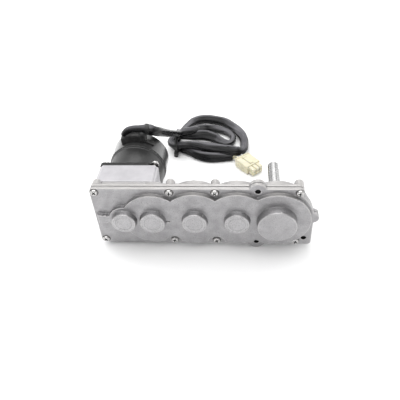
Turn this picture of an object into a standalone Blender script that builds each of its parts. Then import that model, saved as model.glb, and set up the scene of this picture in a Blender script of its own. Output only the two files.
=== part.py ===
"""Geared DC motor: a flat five-shaft spur gearbox with a 60 mm motor standing behind one end.

Sizes are in millimetres, measured from the design datum: x from the gearbox's left end, y from the
cover's front face towards the motor, z from the line that all five shaft centres lie on.
station() turns them into world metres.  World +X runs along the gearbox, +Y from the cover to the
motor, +Z up; the origin is under the middle of the unit, at the foot of its lower mounting ear.
"""
import math

import bmesh
import bpy
from mathutils import Vector
from mathutils.geometry import convex_hull_2d, interpolate_bezier

MM = 0.001
GAP = 0.25                      # clearance that touching pieces keep

# ---- gearbox outline
PLATE_LENGTH = 210.9
PLATE_HALF_HEIGHT = 36.0
CORNER_RADIUS = 3.5
OUTPUT_END_RADIUS = 34.8        # rounded upper corner, concentric with the output shaft
EAR_X = 157.6
EAR_Z = 33.0
EAR_RADIUS = 8.4
SIDE_LUG_X = 210.0
SIDE_LUG_RADIUS = 6.0
SCREW_X = (4.6, 75.6, 118.1, 195.6)
SCREW_Z = 31.5
SCREW_LAND_RADIUS = 4.5
CORNER_HOLE = (203.4, -27.0)
MOUNT_HOLE_RADIUS = 2.75

# ---- depths, from the cover's face
COVER_THICKNESS = 4.0
GASKET_THICKNESS = 0.4
HOUSING_FRONT = COVER_THICKNESS + GASKET_THICKNESS + 2 * GAP
FLANGE_BACK = 8.5
HOUSING_BACK = 17.7
SCREW_LUG_BACK = 15.2
CAVITY_FRONT = -1.5
CAVITY_BACK = 12.5
PLATEAU_FRONT = -4.25
WALL = 2.5

# ---- shafts: motor axis, three intermediate shafts, output
SHAFT_X = (29.6, 57.6, 98.1, 138.6, 176.1)
LOBE_RADIUS = (15.2, 30.4, 32.2, 32.2, 32.3)
BOSS_RADIUS = (11.7, 12.1, 12.0, 12.0, 18.5)
BOSS_FRONT = (-10.2, -10.1, -9.9, -9.9, -13.1)
BOSS_DRAFT = 0.6
TONGUE_X = 3.6
TONGUE_RADIUS = 10.0
WEB_HALF_HEIGHT = 4.0
SCALLOP_RADIUS = 9.0
CORNER_SCALLOP_RADIUS = 5.4
CAVITY_SCALLOP_RADIUS = 10.6

# ---- gears: module, teeth and profile shift of each mesh
PRESSURE_ANGLE = math.radians(20)
FIRST_MODULE = 1.0
MODULE = 1.5
MOTOR_TEETH = 12
FIRST_TEETH = 44
PINION_TEETH = 21
WHEEL_TEETH = 33
LAST_PINION_TEETH = 14
OUTPUT_TEETH = 36
FIRST_SHIFT = 0.3
LAST_SHIFT = 0.2
TOOTH_THINNING = 0.1            # each tooth is this much thinner than half the pitch
FRONT_GEARS = (-0.7, 4.8)       # first and last y of the front row of gears
REAR_GEARS = (6.3, 11.8)
JOURNAL_RADIUS = 4.0
BUSH_RADIUS = 6.2
BUSH_FRONT_LENGTH = 5.4
BUSH_REAR_LENGTH = 3.6

# ---- output shaft
OUTPUT_RADIUS = 6.0
OUTPUT_TIP = 80.0
OUTPUT_FLAT_LENGTH = 9.0
OUTPUT_FLAT_DEPTH = 1.2
OUTPUT_BUSH_RADIUS = 9.0
OUTPUT_BOSS_RADIUS = 16.8
OUTPUT_BOSS_BACK = 31.0
BEARING_RADIUS = 14.0
BEARING_Y = (18.4, 25.2)
SEAL_Y = (25.6, 30.4)

# ---- motor
SQUARE = 60.0
SQUARE_CORNER = 3.5
ADAPTER_Y = (HOUSING_BACK + GAP, 43.3)
MOUNT_PLATE_Y = (43.6, 48.0)
FRONT_CASE_Y = (48.3, 75.7)
FRONT_CASE_RADIUS = 29.3
CAN_Y = (76.0, 100.0)
CAN_RADIUS = 30.0
CASE_WALL = 2.2
MOTOR_SCREW_OFFSET = 25.0
MOTOR_SCREW_LENGTH = 11.5
MOTOR_SCREW_HEAD_RADIUS = 4.4
MOTOR_SCREW_SHANK_RADIUS = 1.5
MOTOR_SHAFT_RADIUS = 3.0
COUPLING_Y = (24.0, 42.0)
COUPLING_RADIUS = 9.0
SHAFT_JOINT_Y = (33.0, 34.0)    # where the pinion shaft ends and the armature shaft starts
MAGNET_Y = (53.0, 75.0)
MAGNET_RADII = (23.9, 26.8)
CORE_Y = (57.0, 72.0)
CORE_RADIUS = 22.6
CORE_SLOTS = 8
CORE_SLOT_CIRCLE = 17.0         # radius that the slots are centred on
CORE_SLOT_RADIUS = 3.3
WINDING_RADII = (9.0, 21.0)
WINDING_LENGTH = 3.7
WINDING_BAR_RADIUS = 2.9
BRUSH_HOLDER_Y = (87.0, 89.0)
BRUSH_HOLDER_RADII = (11.0, 27.4)
BRUSH_Y = (80.5, 86.7)
BRUSH_REACH = (9.3, 19.0)
BRUSH_HALF_HEIGHT = 2.5

# ---- cable
CABLE_RADIUS = 4.0
CABLE_STEP = 16.0               # spacing of the points along the cable
FLOOR = -(EAR_Z + EAR_RADIUS)   # the level that the unit stands on
BOOT_Y = (81.0, 90.0)
CABLE_ROUTE = [
    (18.5, 84.0, 36.0), (18.5, 84.0, 38.6), (20.0, 84.2, 41.0), (23.0, 84.6, 43.6), (28.0, 85.0, 45.1),
    (34.5, 85.5, 45.1), (41.0, 86.4, 44.0), (47.5, 88.0, 41.6), (51.8, 94.0, 35.8), (54.5, 106.0, 26.1),
    (57.0, 122.0, 14.1), (59.0, 137.0, 3.6), (60.5, 151.0, -6.4), (61.5, 165.0, -16.4),
]
SLEEVE_TIE = 7                  # the route's point that the tie beside the boot sits on
HANK_DISCS = [
    ((62.0, 170.0), 12.0), ((84.0, 218.0), 17.0), ((118.0, 213.0), 16.0),
    ((137.0, 176.0), 14.0), ((136.0, 154.0), 12.0), ((106.0, 146.0), 12.0),
]
HANK_HEIGHT = 21.0
HANK_LIFT = 1.4                 # the band of the hank's tie passes under it
HANK_TIE_CENTRE = (54.5, 174.5)
HANK_TIE_HALF_WIDTH = 16.8
TIE_THICKNESS = 1.0
TIE_WIDTH = 3.5
CABLE_TIE_ROOM = 1.7
CONNECTOR_START = (142.0, 137.5)
CONNECTOR_HEADING = -50.0
CONNECTOR_SIZE = (30.0, 20.0, 12.0)

FINE = 24
MEDIUM = 14
COARSE = 8
FLAT_ANGLE = math.radians(0.05)  # faces closer than this to one plane are made one face

ORIGIN = Vector(((SIDE_LUG_X + SIDE_LUG_RADIUS) / 2, (BOSS_FRONT[4] + CAN_Y[1]) / 2, FLOOR))
MOTOR_AXIS = (SHAFT_X[0], 0.0)


def station(x, y, z):
    """World position, in metres, of a design point in millimetres."""
    return (Vector((x, y, z)) - ORIGIN) * MM


# ------------------------------------------------------------------ materials

def make_material(name, colour, metallic, roughness):
    material = bpy.data.materials.new(name)
    material.use_nodes = True
    shader = material.node_tree.nodes["Principled BSDF"]
    shader.inputs["Base Color"].default_value = (*colour, 1.0)
    shader.inputs["Metallic"].default_value = metallic
    shader.inputs["Roughness"].default_value = roughness
    return material


def make_materials():
    return {
        "cast": make_material("cast_aluminium", (0.55, 0.55, 0.56), 0.9, 0.55),
        "adapter": make_material("anodised_aluminium", (0.78, 0.78, 0.79), 0.8, 0.45),
        "steel": make_material("ground_steel", (0.60, 0.60, 0.61), 1.0, 0.3),
        "nickel": make_material("nickel_plate", (0.80, 0.78, 0.74), 1.0, 0.2),
        "black_steel": make_material("blackened_steel", (0.03, 0.03, 0.035), 0.6, 0.45),
        "grey_paint": make_material("dark_grey_paint", (0.07, 0.07, 0.075), 0.2, 0.4),
        "gloss_black": make_material("gloss_black", (0.02, 0.02, 0.022), 0.0, 0.2),
        "rubber": make_material("black_rubber", (0.02, 0.02, 0.02), 0.0, 0.7),
        "sleeve": make_material("black_sleeve", (0.025, 0.025, 0.03), 0.0, 0.35),
        "nylon": make_material("cream_nylon", (0.85, 0.82, 0.62), 0.0, 0.4),
        "bronze": make_material("sintered_bronze", (0.55, 0.40, 0.20), 1.0, 0.5),
        "copper": make_material("enamelled_copper", (0.60, 0.25, 0.10), 0.9, 0.35),
        "laminations": make_material("steel_laminations", (0.30, 0.30, 0.32), 0.9, 0.5),
        "ferrite": make_material("ferrite_magnet", (0.06, 0.06, 0.06), 0.1, 0.7),
        "carbon": make_material("carbon_brush", (0.05, 0.05, 0.05), 0.1, 0.8),
        "phenolic": make_material("phenolic_board", (0.35, 0.18, 0.07), 0.0, 0.6),
        "gasket": make_material("paper_gasket", (0.08, 0.07, 0.06), 0.0, 0.9),
    }


# ------------------------------------------------------------------ outlines, in the x-z plane

def arc(centre, radius, start, end, steps):
    """Points along an arc, angles in degrees, counter-clockwise from +x where end is above start."""
    points = []
    for step in range(steps + 1):
        angle = math.radians(start + (end - start) * step / steps)
        points.append((centre[0] + radius * math.cos(angle), centre[1] + radius * math.sin(angle)))
    return points


def circle(centre, radius, sides):
    return arc(centre, radius, 0, 360, sides)[:-1]


def rounded_rectangle(low, high, radius, steps=4):
    corners = ((high[0], high[1], 0), (low[0], high[1], 90), (low[0], low[1], 180), (high[0], low[1], 270))
    points = []
    for x, z, turn in corners:
        inner_x = x - radius if x == high[0] else x + radius
        inner_z = z - radius if z == high[1] else z + radius
        points += arc((inner_x, inner_z), radius, turn, turn + 90, steps)
    return points


def meeting_angle(centre, radius, other, other_radius, side):
    """Direction, in degrees, from centre to where the two circles cross, on the given side."""
    across = Vector(other) - Vector(centre)
    distance = across.length
    cosine = (radius ** 2 + distance ** 2 - other_radius ** 2) / (2 * radius * distance)
    return math.degrees(math.atan2(across.y, across.x) + side * math.acos(cosine))


def flange_outline(inset=0.0):
    """Edge of cover, gasket and housing flange: two ears, a side lug and a rounded output corner."""
    left = inset
    right = PLATE_LENGTH - inset
    top = PLATE_HALF_HEIGHT - inset
    corner = CORNER_RADIUS - inset
    ear = EAR_RADIUS - inset
    ear_angle = math.degrees(math.asin((top - EAR_Z) / ear))
    lug = SIDE_LUG_RADIUS - inset
    lug_angle = math.degrees(math.acos((right - SIDE_LUG_X) / lug))
    output = (SHAFT_X[4], 0.0)
    output_end = OUTPUT_END_RADIUS - inset
    land = (SCREW_X[3], SCREW_Z)
    land_radius = SCREW_LAND_RADIUS - inset
    lug_meets = meeting_angle(output, output_end, (SIDE_LUG_X, 0.0), lug, 1)
    land_meets = meeting_angle(output, output_end, land, land_radius, -1)
    land_starts = meeting_angle(land, land_radius, output, output_end, 1)
    lug_ends = meeting_angle((SIDE_LUG_X, 0.0), lug, output, output_end, -1)

    points = arc((left + corner, -top + corner), corner, 180, 270, 4)
    points += arc((EAR_X, -EAR_Z), ear, 180 + ear_angle, 360 - ear_angle, 8)
    points += arc((right - corner, -top + corner), corner, 270, 360, 4)
    points += arc((SIDE_LUG_X, 0.0), lug, -lug_angle, lug_ends, 6)
    points += arc(output, output_end, lug_meets, land_meets, 5)[1:]
    points += arc(land, land_radius, land_starts, 90, 4)[1:]
    points += arc((EAR_X, EAR_Z), ear, ear_angle, 180 - ear_angle, 8)
    points += arc((left + corner, top - corner), corner, 90, 180, 4)
    return points


def lobe_outline(discs, steps=8):
    """Outline of discs in a row, each crossing the next, all centred on the shaft line."""
    upper = []
    start = 180.0
    for index, (x, radius) in enumerate(discs):
        end = 0.0
        if index + 1 < len(discs):
            end = meeting_angle((x, 0.0), radius, (discs[index + 1][0], 0.0), discs[index + 1][1], 1)
        stretch = arc((x, 0.0), radius, start, end, steps)
        upper += stretch if index == 0 else stretch[1:]
        if index + 1 < len(discs):
            next_x, next_radius = discs[index + 1]
            start = meeting_angle((next_x, 0.0), next_radius, (x, 0.0), radius, -1)
    lower = [(x, -z) for x, z in reversed(upper[1:-1])]
    return list(reversed(upper + lower))


def involute(angle):
    return math.tan(angle) - angle


def gear_outline(centre_x, teeth, module, shift, facing):
    """Involute gear; facing is the direction, in degrees, that the middle of its first tooth points."""
    pitch_radius = module * teeth / 2
    base_radius = pitch_radius * math.cos(PRESSURE_ANGLE)
    root_radius = pitch_radius + module * (shift - 1.25)
    tip_radius = pitch_radius + module * (shift + 1.0)
    thickness = module * (math.pi / 2 + 2 * shift * math.tan(PRESSURE_ANGLE)) - TOOTH_THINNING
    at_pitch = thickness / (2 * pitch_radius) + involute(PRESSURE_ANGLE)

    def half_angle(radius):
        pressure = math.acos(min(1.0, base_radius / max(radius, base_radius)))
        return at_pitch - involute(pressure)

    stations = (root_radius, tip_radius) if teeth > PINION_TEETH else (root_radius, pitch_radius, tip_radius)
    flank = [(radius, half_angle(radius)) for radius in stations]
    points = []
    for tooth in range(teeth):
        middle = math.radians(facing) + 2 * math.pi * tooth / teeth
        for radius, half in flank:
            points.append((radius, middle - half))
        for radius, half in reversed(flank):
            points.append((radius, middle + half))
    return [(centre_x + radius * math.cos(angle), radius * math.sin(angle)) for radius, angle in points]


# ------------------------------------------------------------------ solids

def finish_mesh(bm, name, material, pivot):
    """Turn a bmesh in design millimetres into an object whose origin is at the pivot."""
    bmesh.ops.recalc_face_normals(bm, faces=bm.faces)
    base = Vector(pivot)
    for vertex in bm.verts:
        vertex.co = (vertex.co - base) * MM
    mesh = bpy.data.meshes.new(name)
    bm.to_mesh(mesh)
    bm.free()
    mesh.shade_smooth()
    mesh.set_sharp_from_angle(angle=math.radians(35))
    mesh.materials.append(material)
    piece = bpy.data.objects.new(name, mesh)
    piece.location = station(*pivot)
    bpy.context.scene.collection.objects.link(piece)
    return piece


def add_prism(bm, outline, front, back):
    """Close the outline between two depths."""
    first = [bm.verts.new((x, front, z)) for x, z in outline]
    last = [bm.verts.new((x, back, z)) for x, z in outline]
    bm.faces.new(first)
    bm.faces.new(list(reversed(last)))
    count = len(outline)
    for index in range(count):
        following = (index + 1) % count
        bm.faces.new((first[index], last[index], last[following], first[following]))


def add_turned(bm, centre, profile, sides, closed=False):
    """Turn a profile of (radius, y) about the y axis through centre (x, z)."""
    rings = []
    for radius, depth in profile:
        if radius == 0:
            rings.append([bm.verts.new((centre[0], depth, centre[1]))])
            continue
        rings.append([bm.verts.new((x, depth, z)) for x, z in circle(centre, radius, sides)])
    pairs = list(zip(rings, rings[1:]))
    if closed:
        pairs.append((rings[-1], rings[0]))
    for ring, following_ring in pairs:
        if len(ring) == len(following_ring) == 1:
            continue
        for index in range(sides):
            following = (index + 1) % sides
            corners = [ring[index % len(ring)], ring[following % len(ring)],
                       following_ring[following % len(following_ring)],
                       following_ring[index % len(following_ring)]]
            unique = list(dict.fromkeys(corners))
            bm.faces.new(unique)


def prism(name, material, outline, front, back, pivot=(0.0, 0.0, 0.0)):
    bm = bmesh.new()
    add_prism(bm, outline, front, back)
    return finish_mesh(bm, name, material, pivot)


def turned(name, material, centre, profile, sides, closed=False):
    bm = bmesh.new()
    add_turned(bm, centre, profile, sides, closed)
    return finish_mesh(bm, name, material, (centre[0], 0.0, centre[1]))


def tube(name, material, centre, inner, outer, front, back, sides):
    """A plain bush or ring."""
    profile = [(inner, front), (outer, front), (outer, back), (inner, back)]
    return turned(name, material, centre, profile, sides, closed=True)


def rods(name, material, items):
    """Several separate cylinders in one helper: items are (centre, radius, front, back, sides)."""
    bm = bmesh.new()
    for centre, radius, front, back, sides in items:
        add_turned(bm, centre, [(0, front), (radius, front), (radius, back), (0, back)], sides)
    return finish_mesh(bm, name, material, (0.0, 0.0, 0.0))


def combine(body, helper, operation):
    """Join the helper to the body, or cut it away, and drop the helper."""
    helper.hide_render = True
    helper.display_type = "WIRE"
    modifier = body.modifiers.new(operation.lower(), "BOOLEAN")
    modifier.operation = operation
    modifier.solver = "EXACT"
    modifier.object = helper
    graph = bpy.context.evaluated_depsgraph_get()
    mesh = bpy.data.meshes.new_from_object(body.evaluated_get(graph))
    bm = bmesh.new()
    bm.from_mesh(mesh)
    bmesh.ops.dissolve_limit(bm, angle_limit=FLAT_ANGLE, verts=bm.verts, edges=bm.edges)
    bm.to_mesh(mesh)
    bm.free()
    body.modifiers.clear()
    body.data = mesh
    bpy.data.objects.remove(helper)
    return body


def join(body, helper):
    return combine(body, helper, "UNION")


def cut(body, helper):
    return combine(body, helper, "DIFFERENCE")


# ------------------------------------------------------------------ gearbox case

def screw_points():
    return [(x, z) for z in (SCREW_Z, -SCREW_Z) for x in SCREW_X]


def mount_holes():
    return [(EAR_X, EAR_Z), (EAR_X, -EAR_Z), CORNER_HOLE]


def inner_lobes(clearance):
    return [(x, radius - clearance) for x, radius in zip(SHAFT_X, LOBE_RADIUS)]


def middle_screws():
    return [(x, z) for x in SCREW_X[1:3] for z in (SCREW_Z, -SCREW_Z)]


def make_cavity(material, front, back):
    """The space for the gears, which steps in round the four middle screws."""
    cavity = prism("cavity", material, lobe_outline(inner_lobes(WALL)), front, back)
    screws = [(point, CAVITY_SCALLOP_RADIUS, front - 1, back + 1, MEDIUM) for point in middle_screws()]
    return cut(cavity, rods("cavity_scallops", material, screws))


def make_plateau(material):
    """Raised middle of the cover, with a tongue to its left end and scallops round the screws."""
    back = COVER_THICKNESS / 2
    plateau = prism("plateau", material, lobe_outline(inner_lobes(0.0)), PLATEAU_FRONT, back)
    web_outline = rounded_rectangle((TONGUE_X, -WEB_HALF_HEIGHT), (SHAFT_X[0], WEB_HALF_HEIGHT), 1.0, 1)
    join(plateau, prism("web", material, web_outline, PLATEAU_FRONT, back))
    tongue = prism("tongue", material, circle((TONGUE_X, 0.0), TONGUE_RADIUS, MEDIUM), PLATEAU_FRONT, back)
    join(plateau, tongue)
    trim = rounded_rectangle((-2 * TONGUE_RADIUS, -2 * TONGUE_RADIUS), (0.8, 2 * TONGUE_RADIUS), 1.0, 1)
    cut(plateau, prism("trim", material, trim, PLATEAU_FRONT - 1, back + 1))
    scallops = [(point, SCALLOP_RADIUS, PLATEAU_FRONT - 1, back + 1, MEDIUM) for point in middle_screws()]
    for z in (SCREW_Z, -SCREW_Z):
        corner = (SCREW_X[3], z)
        scallops.append((corner, CORNER_SCALLOP_RADIUS, PLATEAU_FRONT - 1, back + 1, MEDIUM))
    return cut(plateau, rods("scallops", material, scallops))


def make_cover(materials):
    cast = materials["cast"]
    cover = prism("gearbox_cover", cast, flange_outline(), 0.0, COVER_THICKNESS)
    join(cover, make_plateau(cast))
    for x, radius, front in zip(SHAFT_X, BOSS_RADIUS, BOSS_FRONT):
        root = PLATEAU_FRONT + 1
        profile = [(0, front), (radius - BOSS_DRAFT, front), (radius, front + BOSS_DRAFT),
                   (radius + BOSS_DRAFT, root), (0, root)]
        join(cover, turned("boss", cast, (x, 0.0), profile, FINE))
    cut(cover, make_cavity(cast, CAVITY_FRONT, COVER_THICKNESS + 1))
    pockets = []
    for x, front in zip(SHAFT_X, BOSS_FRONT):
        radius = OUTPUT_BUSH_RADIUS if x == SHAFT_X[4] else BUSH_RADIUS
        pockets.append(((x, 0.0), radius + GAP, front + WALL, CAVITY_FRONT + 1, MEDIUM))
    cut(cover, rods("bush_pockets", cast, pockets))
    holes = [(point, 2.3, -1, COVER_THICKNESS + 1, COARSE) for point in screw_points()]
    holes += [(point, MOUNT_HOLE_RADIUS, -1, COVER_THICKNESS + 1, COARSE) for point in mount_holes()]
    cut(cover, rods("holes", cast, holes))
    counterbores = [(point, 4.2, -3, 1.0, MEDIUM) for point in screw_points()]
    return cut(cover, rods("counterbores", cast, counterbores))


def make_gasket(materials):
    paper = materials["gasket"]
    front = COVER_THICKNESS + GAP
    back = front + GASKET_THICKNESS
    gasket = prism("cover_gasket", paper, flange_outline(0.4), front, back)
    cut(gasket, make_cavity(paper, front - 1, back + 1))
    holes = [(point, 2.5, front - 1, back + 1, COARSE) for point in screw_points() + mount_holes()]
    return cut(gasket, rods("gasket_holes", paper, holes))


def make_housing(materials):
    cast = materials["cast"]
    overlap = HOUSING_FRONT + 1
    housing = prism("gearbox_housing", cast, flange_outline(), HOUSING_FRONT, FLANGE_BACK)
    body = prism("rear_lobes", cast, lobe_outline(inner_lobes(0.0)), overlap, HOUSING_BACK)
    half = SQUARE / 2
    pad = rounded_rectangle((SHAFT_X[0] - half + 1, 1 - half), (SHAFT_X[0] + half, half - 1), SQUARE_CORNER)
    join(body, prism("adapter_pad", cast, pad, overlap, HOUSING_BACK))
    join(housing, body)
    lugs = [(point, SCREW_LAND_RADIUS, overlap, SCREW_LUG_BACK, MEDIUM) for point in screw_points()]
    join(housing, rods("screw_lugs", cast, lugs))
    output = (SHAFT_X[4], 0.0)
    boss_front = HOUSING_BACK - 1
    boss = [(0, boss_front), (OUTPUT_BOSS_RADIUS + 1, boss_front), (OUTPUT_BOSS_RADIUS, OUTPUT_BOSS_BACK - 1),
            (OUTPUT_BOSS_RADIUS - 1, OUTPUT_BOSS_BACK), (0, OUTPUT_BOSS_BACK)]
    join(housing, turned("output_boss", cast, output, boss, FINE))
    cut(housing, make_cavity(cast, HOUSING_FRONT - 1, CAVITY_BACK))
    pockets = [((x, 0.0), BUSH_RADIUS + GAP, CAVITY_BACK - 1, CAVITY_BACK + BUSH_REAR_LENGTH + GAP, MEDIUM)
               for x in SHAFT_X[1:4]]
    pockets.append((MOTOR_AXIS, BUSH_RADIUS + GAP, CAVITY_BACK - 1, HOUSING_BACK + 1, MEDIUM))
    pockets += [(point, 2.3, HOUSING_FRONT - 1, SCREW_LUG_BACK - 0.8, COARSE) for point in screw_points()]
    pockets += [(point, MOUNT_HOLE_RADIUS, HOUSING_FRONT - 1, FLANGE_BACK + 1, COARSE)
                for point in mount_holes()]
    cut(housing, rods("housing_pockets", cast, pockets))
    bore_radius = OUTPUT_RADIUS + 1.5
    seat_radius = BEARING_RADIUS + GAP
    seat_front = BEARING_Y[0] - GAP
    bore = [(0, CAVITY_BACK - 1), (bore_radius, CAVITY_BACK - 1), (bore_radius, seat_front),
            (seat_radius, seat_front), (seat_radius, OUTPUT_BOSS_BACK + 1), (0, OUTPUT_BOSS_BACK + 1)]
    return cut(housing, turned("bearing_bore", cast, output, bore, FINE))


def make_screw(name, material, point, seat, direction, length, head_radius, shank_radius):
    """Pan-head screw whose head sits on the seat and whose shank runs along direction (+1 or -1)."""
    height = head_radius * 0.68
    profile = [(0, -height), (head_radius * 0.6, -height), (head_radius, -height * 0.4), (head_radius, 0),
               (shank_radius, 0), (shank_radius, length), (0, length)]
    placed = [(radius, seat + direction * depth) for radius, depth in profile]
    return turned(name, material, point, placed, COARSE)


def make_cover_screws(materials):
    for number, point in enumerate(screw_points(), start=1):
        make_screw(f"cover_screw_{number}", materials["nickel"], point, 1.0 - GAP, 1, 13.0, 3.6, 2.0)


# ------------------------------------------------------------------ gear train

def make_bushes(materials):
    bronze = materials["bronze"]
    names = ("pinion", "first", "second", "third")
    for name, x, boss_front in zip(names, SHAFT_X, BOSS_FRONT):
        bore = (MOTOR_SHAFT_RADIUS if name == "pinion" else JOURNAL_RADIUS) + GAP
        front = boss_front + WALL + GAP
        tube(f"{name}_bush_front", bronze, (x, 0.0), bore, BUSH_RADIUS, front, CAVITY_FRONT - GAP, MEDIUM)
        back = CAVITY_BACK + BUSH_REAR_LENGTH
        tube(f"{name}_bush_rear", bronze, (x, 0.0), bore, BUSH_RADIUS, CAVITY_BACK + GAP, back, MEDIUM)
    output = (SHAFT_X[4], 0.0)
    tube("output_bush", bronze, output, OUTPUT_RADIUS + GAP, OUTPUT_BUSH_RADIUS,
         BOSS_FRONT[4] + WALL + GAP, CAVITY_FRONT - GAP, MEDIUM)


def make_gear(name, material, x, teeth, module, shift, facing, span, bore):
    gear = prism(name, material, gear_outline(x, teeth, module, shift, facing), *span, pivot=(x, 0.0, 0.0))
    return cut(gear, rods("gear_bore", material, [((x, 0.0), bore, span[0] - 1, span[1] + 1, MEDIUM)]))


def make_pinion_shaft(name, material, x, teeth, shift, facing, span):
    """A shaft in two bushes with its pinion cut from the same bar."""
    boss_front = BOSS_FRONT[SHAFT_X.index(x)]
    outline = gear_outline(x, teeth, MODULE, shift, facing)
    piece = prism(name, material, outline, *span, pivot=(x, 0.0, 0.0))
    front = boss_front + WALL + 2 * GAP
    back = CAVITY_BACK + BUSH_REAR_LENGTH - GAP
    return join(piece, rods("bar", material, [((x, 0.0), JOURNAL_RADIUS, front, back, MEDIUM)]))


def make_gear_train(materials):
    """Each driver points a tooth at the next shaft, and each wheel points a tooth space back at it."""
    steel = materials["steel"]
    ahead = 0.0
    first_facing = 180.0 + 180.0 / FIRST_TEETH
    wheel_facing = 180.0 + 180.0 / WHEEL_TEETH
    output_facing = 180.0 + 180.0 / OUTPUT_TEETH
    shaft_bore = JOURNAL_RADIUS + GAP
    make_gear("motor_pinion", steel, SHAFT_X[0], MOTOR_TEETH, FIRST_MODULE, FIRST_SHIFT, ahead,
              (REAR_GEARS[0] - 0.5, REAR_GEARS[1] + 0.4), MOTOR_SHAFT_RADIUS + GAP)
    make_gear("first_gear", steel, SHAFT_X[1], FIRST_TEETH, FIRST_MODULE, -FIRST_SHIFT, first_facing,
              REAR_GEARS, shaft_bore)
    make_pinion_shaft("first_pinion_shaft", steel, SHAFT_X[1], PINION_TEETH, 0.0, ahead, FRONT_GEARS)
    make_gear("second_gear", steel, SHAFT_X[2], WHEEL_TEETH, MODULE, 0.0, wheel_facing,
              FRONT_GEARS, shaft_bore)
    make_pinion_shaft("second_pinion_shaft", steel, SHAFT_X[2], PINION_TEETH, 0.0, ahead, REAR_GEARS)
    make_gear("third_gear", steel, SHAFT_X[3], WHEEL_TEETH, MODULE, 0.0, wheel_facing,
              REAR_GEARS, shaft_bore)
    make_pinion_shaft("third_pinion_shaft", steel, SHAFT_X[3], LAST_PINION_TEETH, LAST_SHIFT, ahead,
                      FRONT_GEARS)
    make_gear("output_gear", steel, SHAFT_X[4], OUTPUT_TEETH, MODULE, -LAST_SHIFT, output_facing,
              FRONT_GEARS, OUTPUT_RADIUS + GAP)


def make_output(materials):
    """Output shaft with a collar, a key in its gear and a flat on its end, in a ball bearing."""
    steel = materials["steel"]
    x = SHAFT_X[4]
    collar = OUTPUT_RADIUS + 1.2
    front = BOSS_FRONT[4] + WALL + 2 * GAP
    profile = [(0, front), (OUTPUT_RADIUS, front), (OUTPUT_RADIUS, FRONT_GEARS[1] + GAP),
               (collar, FRONT_GEARS[1] + GAP), (collar, CAVITY_BACK + 2), (OUTPUT_RADIUS, CAVITY_BACK + 2),
               (OUTPUT_RADIUS, OUTPUT_TIP - 0.8), (OUTPUT_RADIUS - 0.8, OUTPUT_TIP), (0, OUTPUT_TIP)]
    shaft = turned("output_shaft", steel, (x, 0.0), profile, 32)
    flat = rounded_rectangle((x + OUTPUT_RADIUS - OUTPUT_FLAT_DEPTH, -8.0), (x + 9.0, 8.0), 0.5, 1)
    cut(shaft, prism("flat", steel, flat, OUTPUT_TIP - OUTPUT_FLAT_LENGTH, OUTPUT_TIP + 1))

    key_front = FRONT_GEARS[0] + 0.6
    key_back = FRONT_GEARS[1] - 0.6
    slot_low = OUTPUT_RADIUS - 2.0
    slot_high = OUTPUT_RADIUS + 1.6
    slot = rounded_rectangle((x - 2.0, slot_low), (x + 2.0, slot_high), 0.3, 1)
    key_outline = rounded_rectangle((x - 2.0 + GAP, slot_low + GAP), (x + 2.0 - GAP, slot_high - GAP), 0.2, 1)
    cut(shaft, prism("shaft_slot", steel, slot, key_front - GAP, key_back + GAP))
    gear = bpy.data.objects["output_gear"]
    cut(gear, prism("gear_slot", steel, slot, FRONT_GEARS[0] - 1, FRONT_GEARS[1] + 1))
    prism("output_key", steel, key_outline, key_front, key_back, pivot=(x, 0.0, 0.0))

    tube("output_bearing_inner", steel, (x, 0.0), OUTPUT_RADIUS + GAP, 8.6, *BEARING_Y, MEDIUM)
    tube("output_bearing_outer", steel, (x, 0.0), 11.6, BEARING_RADIUS, *BEARING_Y, FINE)
    tube("oil_seal", materials["rubber"], (x, 0.0), OUTPUT_RADIUS + GAP, BEARING_RADIUS, *SEAL_Y, FINE)


# ------------------------------------------------------------------ motor

def square_outline(inset=0.0):
    half = SQUARE / 2 - inset
    x, z = MOTOR_AXIS
    return rounded_rectangle((x - half, z - half), (x + half, z + half), SQUARE_CORNER)


def motor_corners():
    offset = MOTOR_SCREW_OFFSET
    return [(SHAFT_X[0] + offset * u, offset * v) for u, v in ((1, 1), (-1, 1), (-1, -1), (1, -1))]


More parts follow.
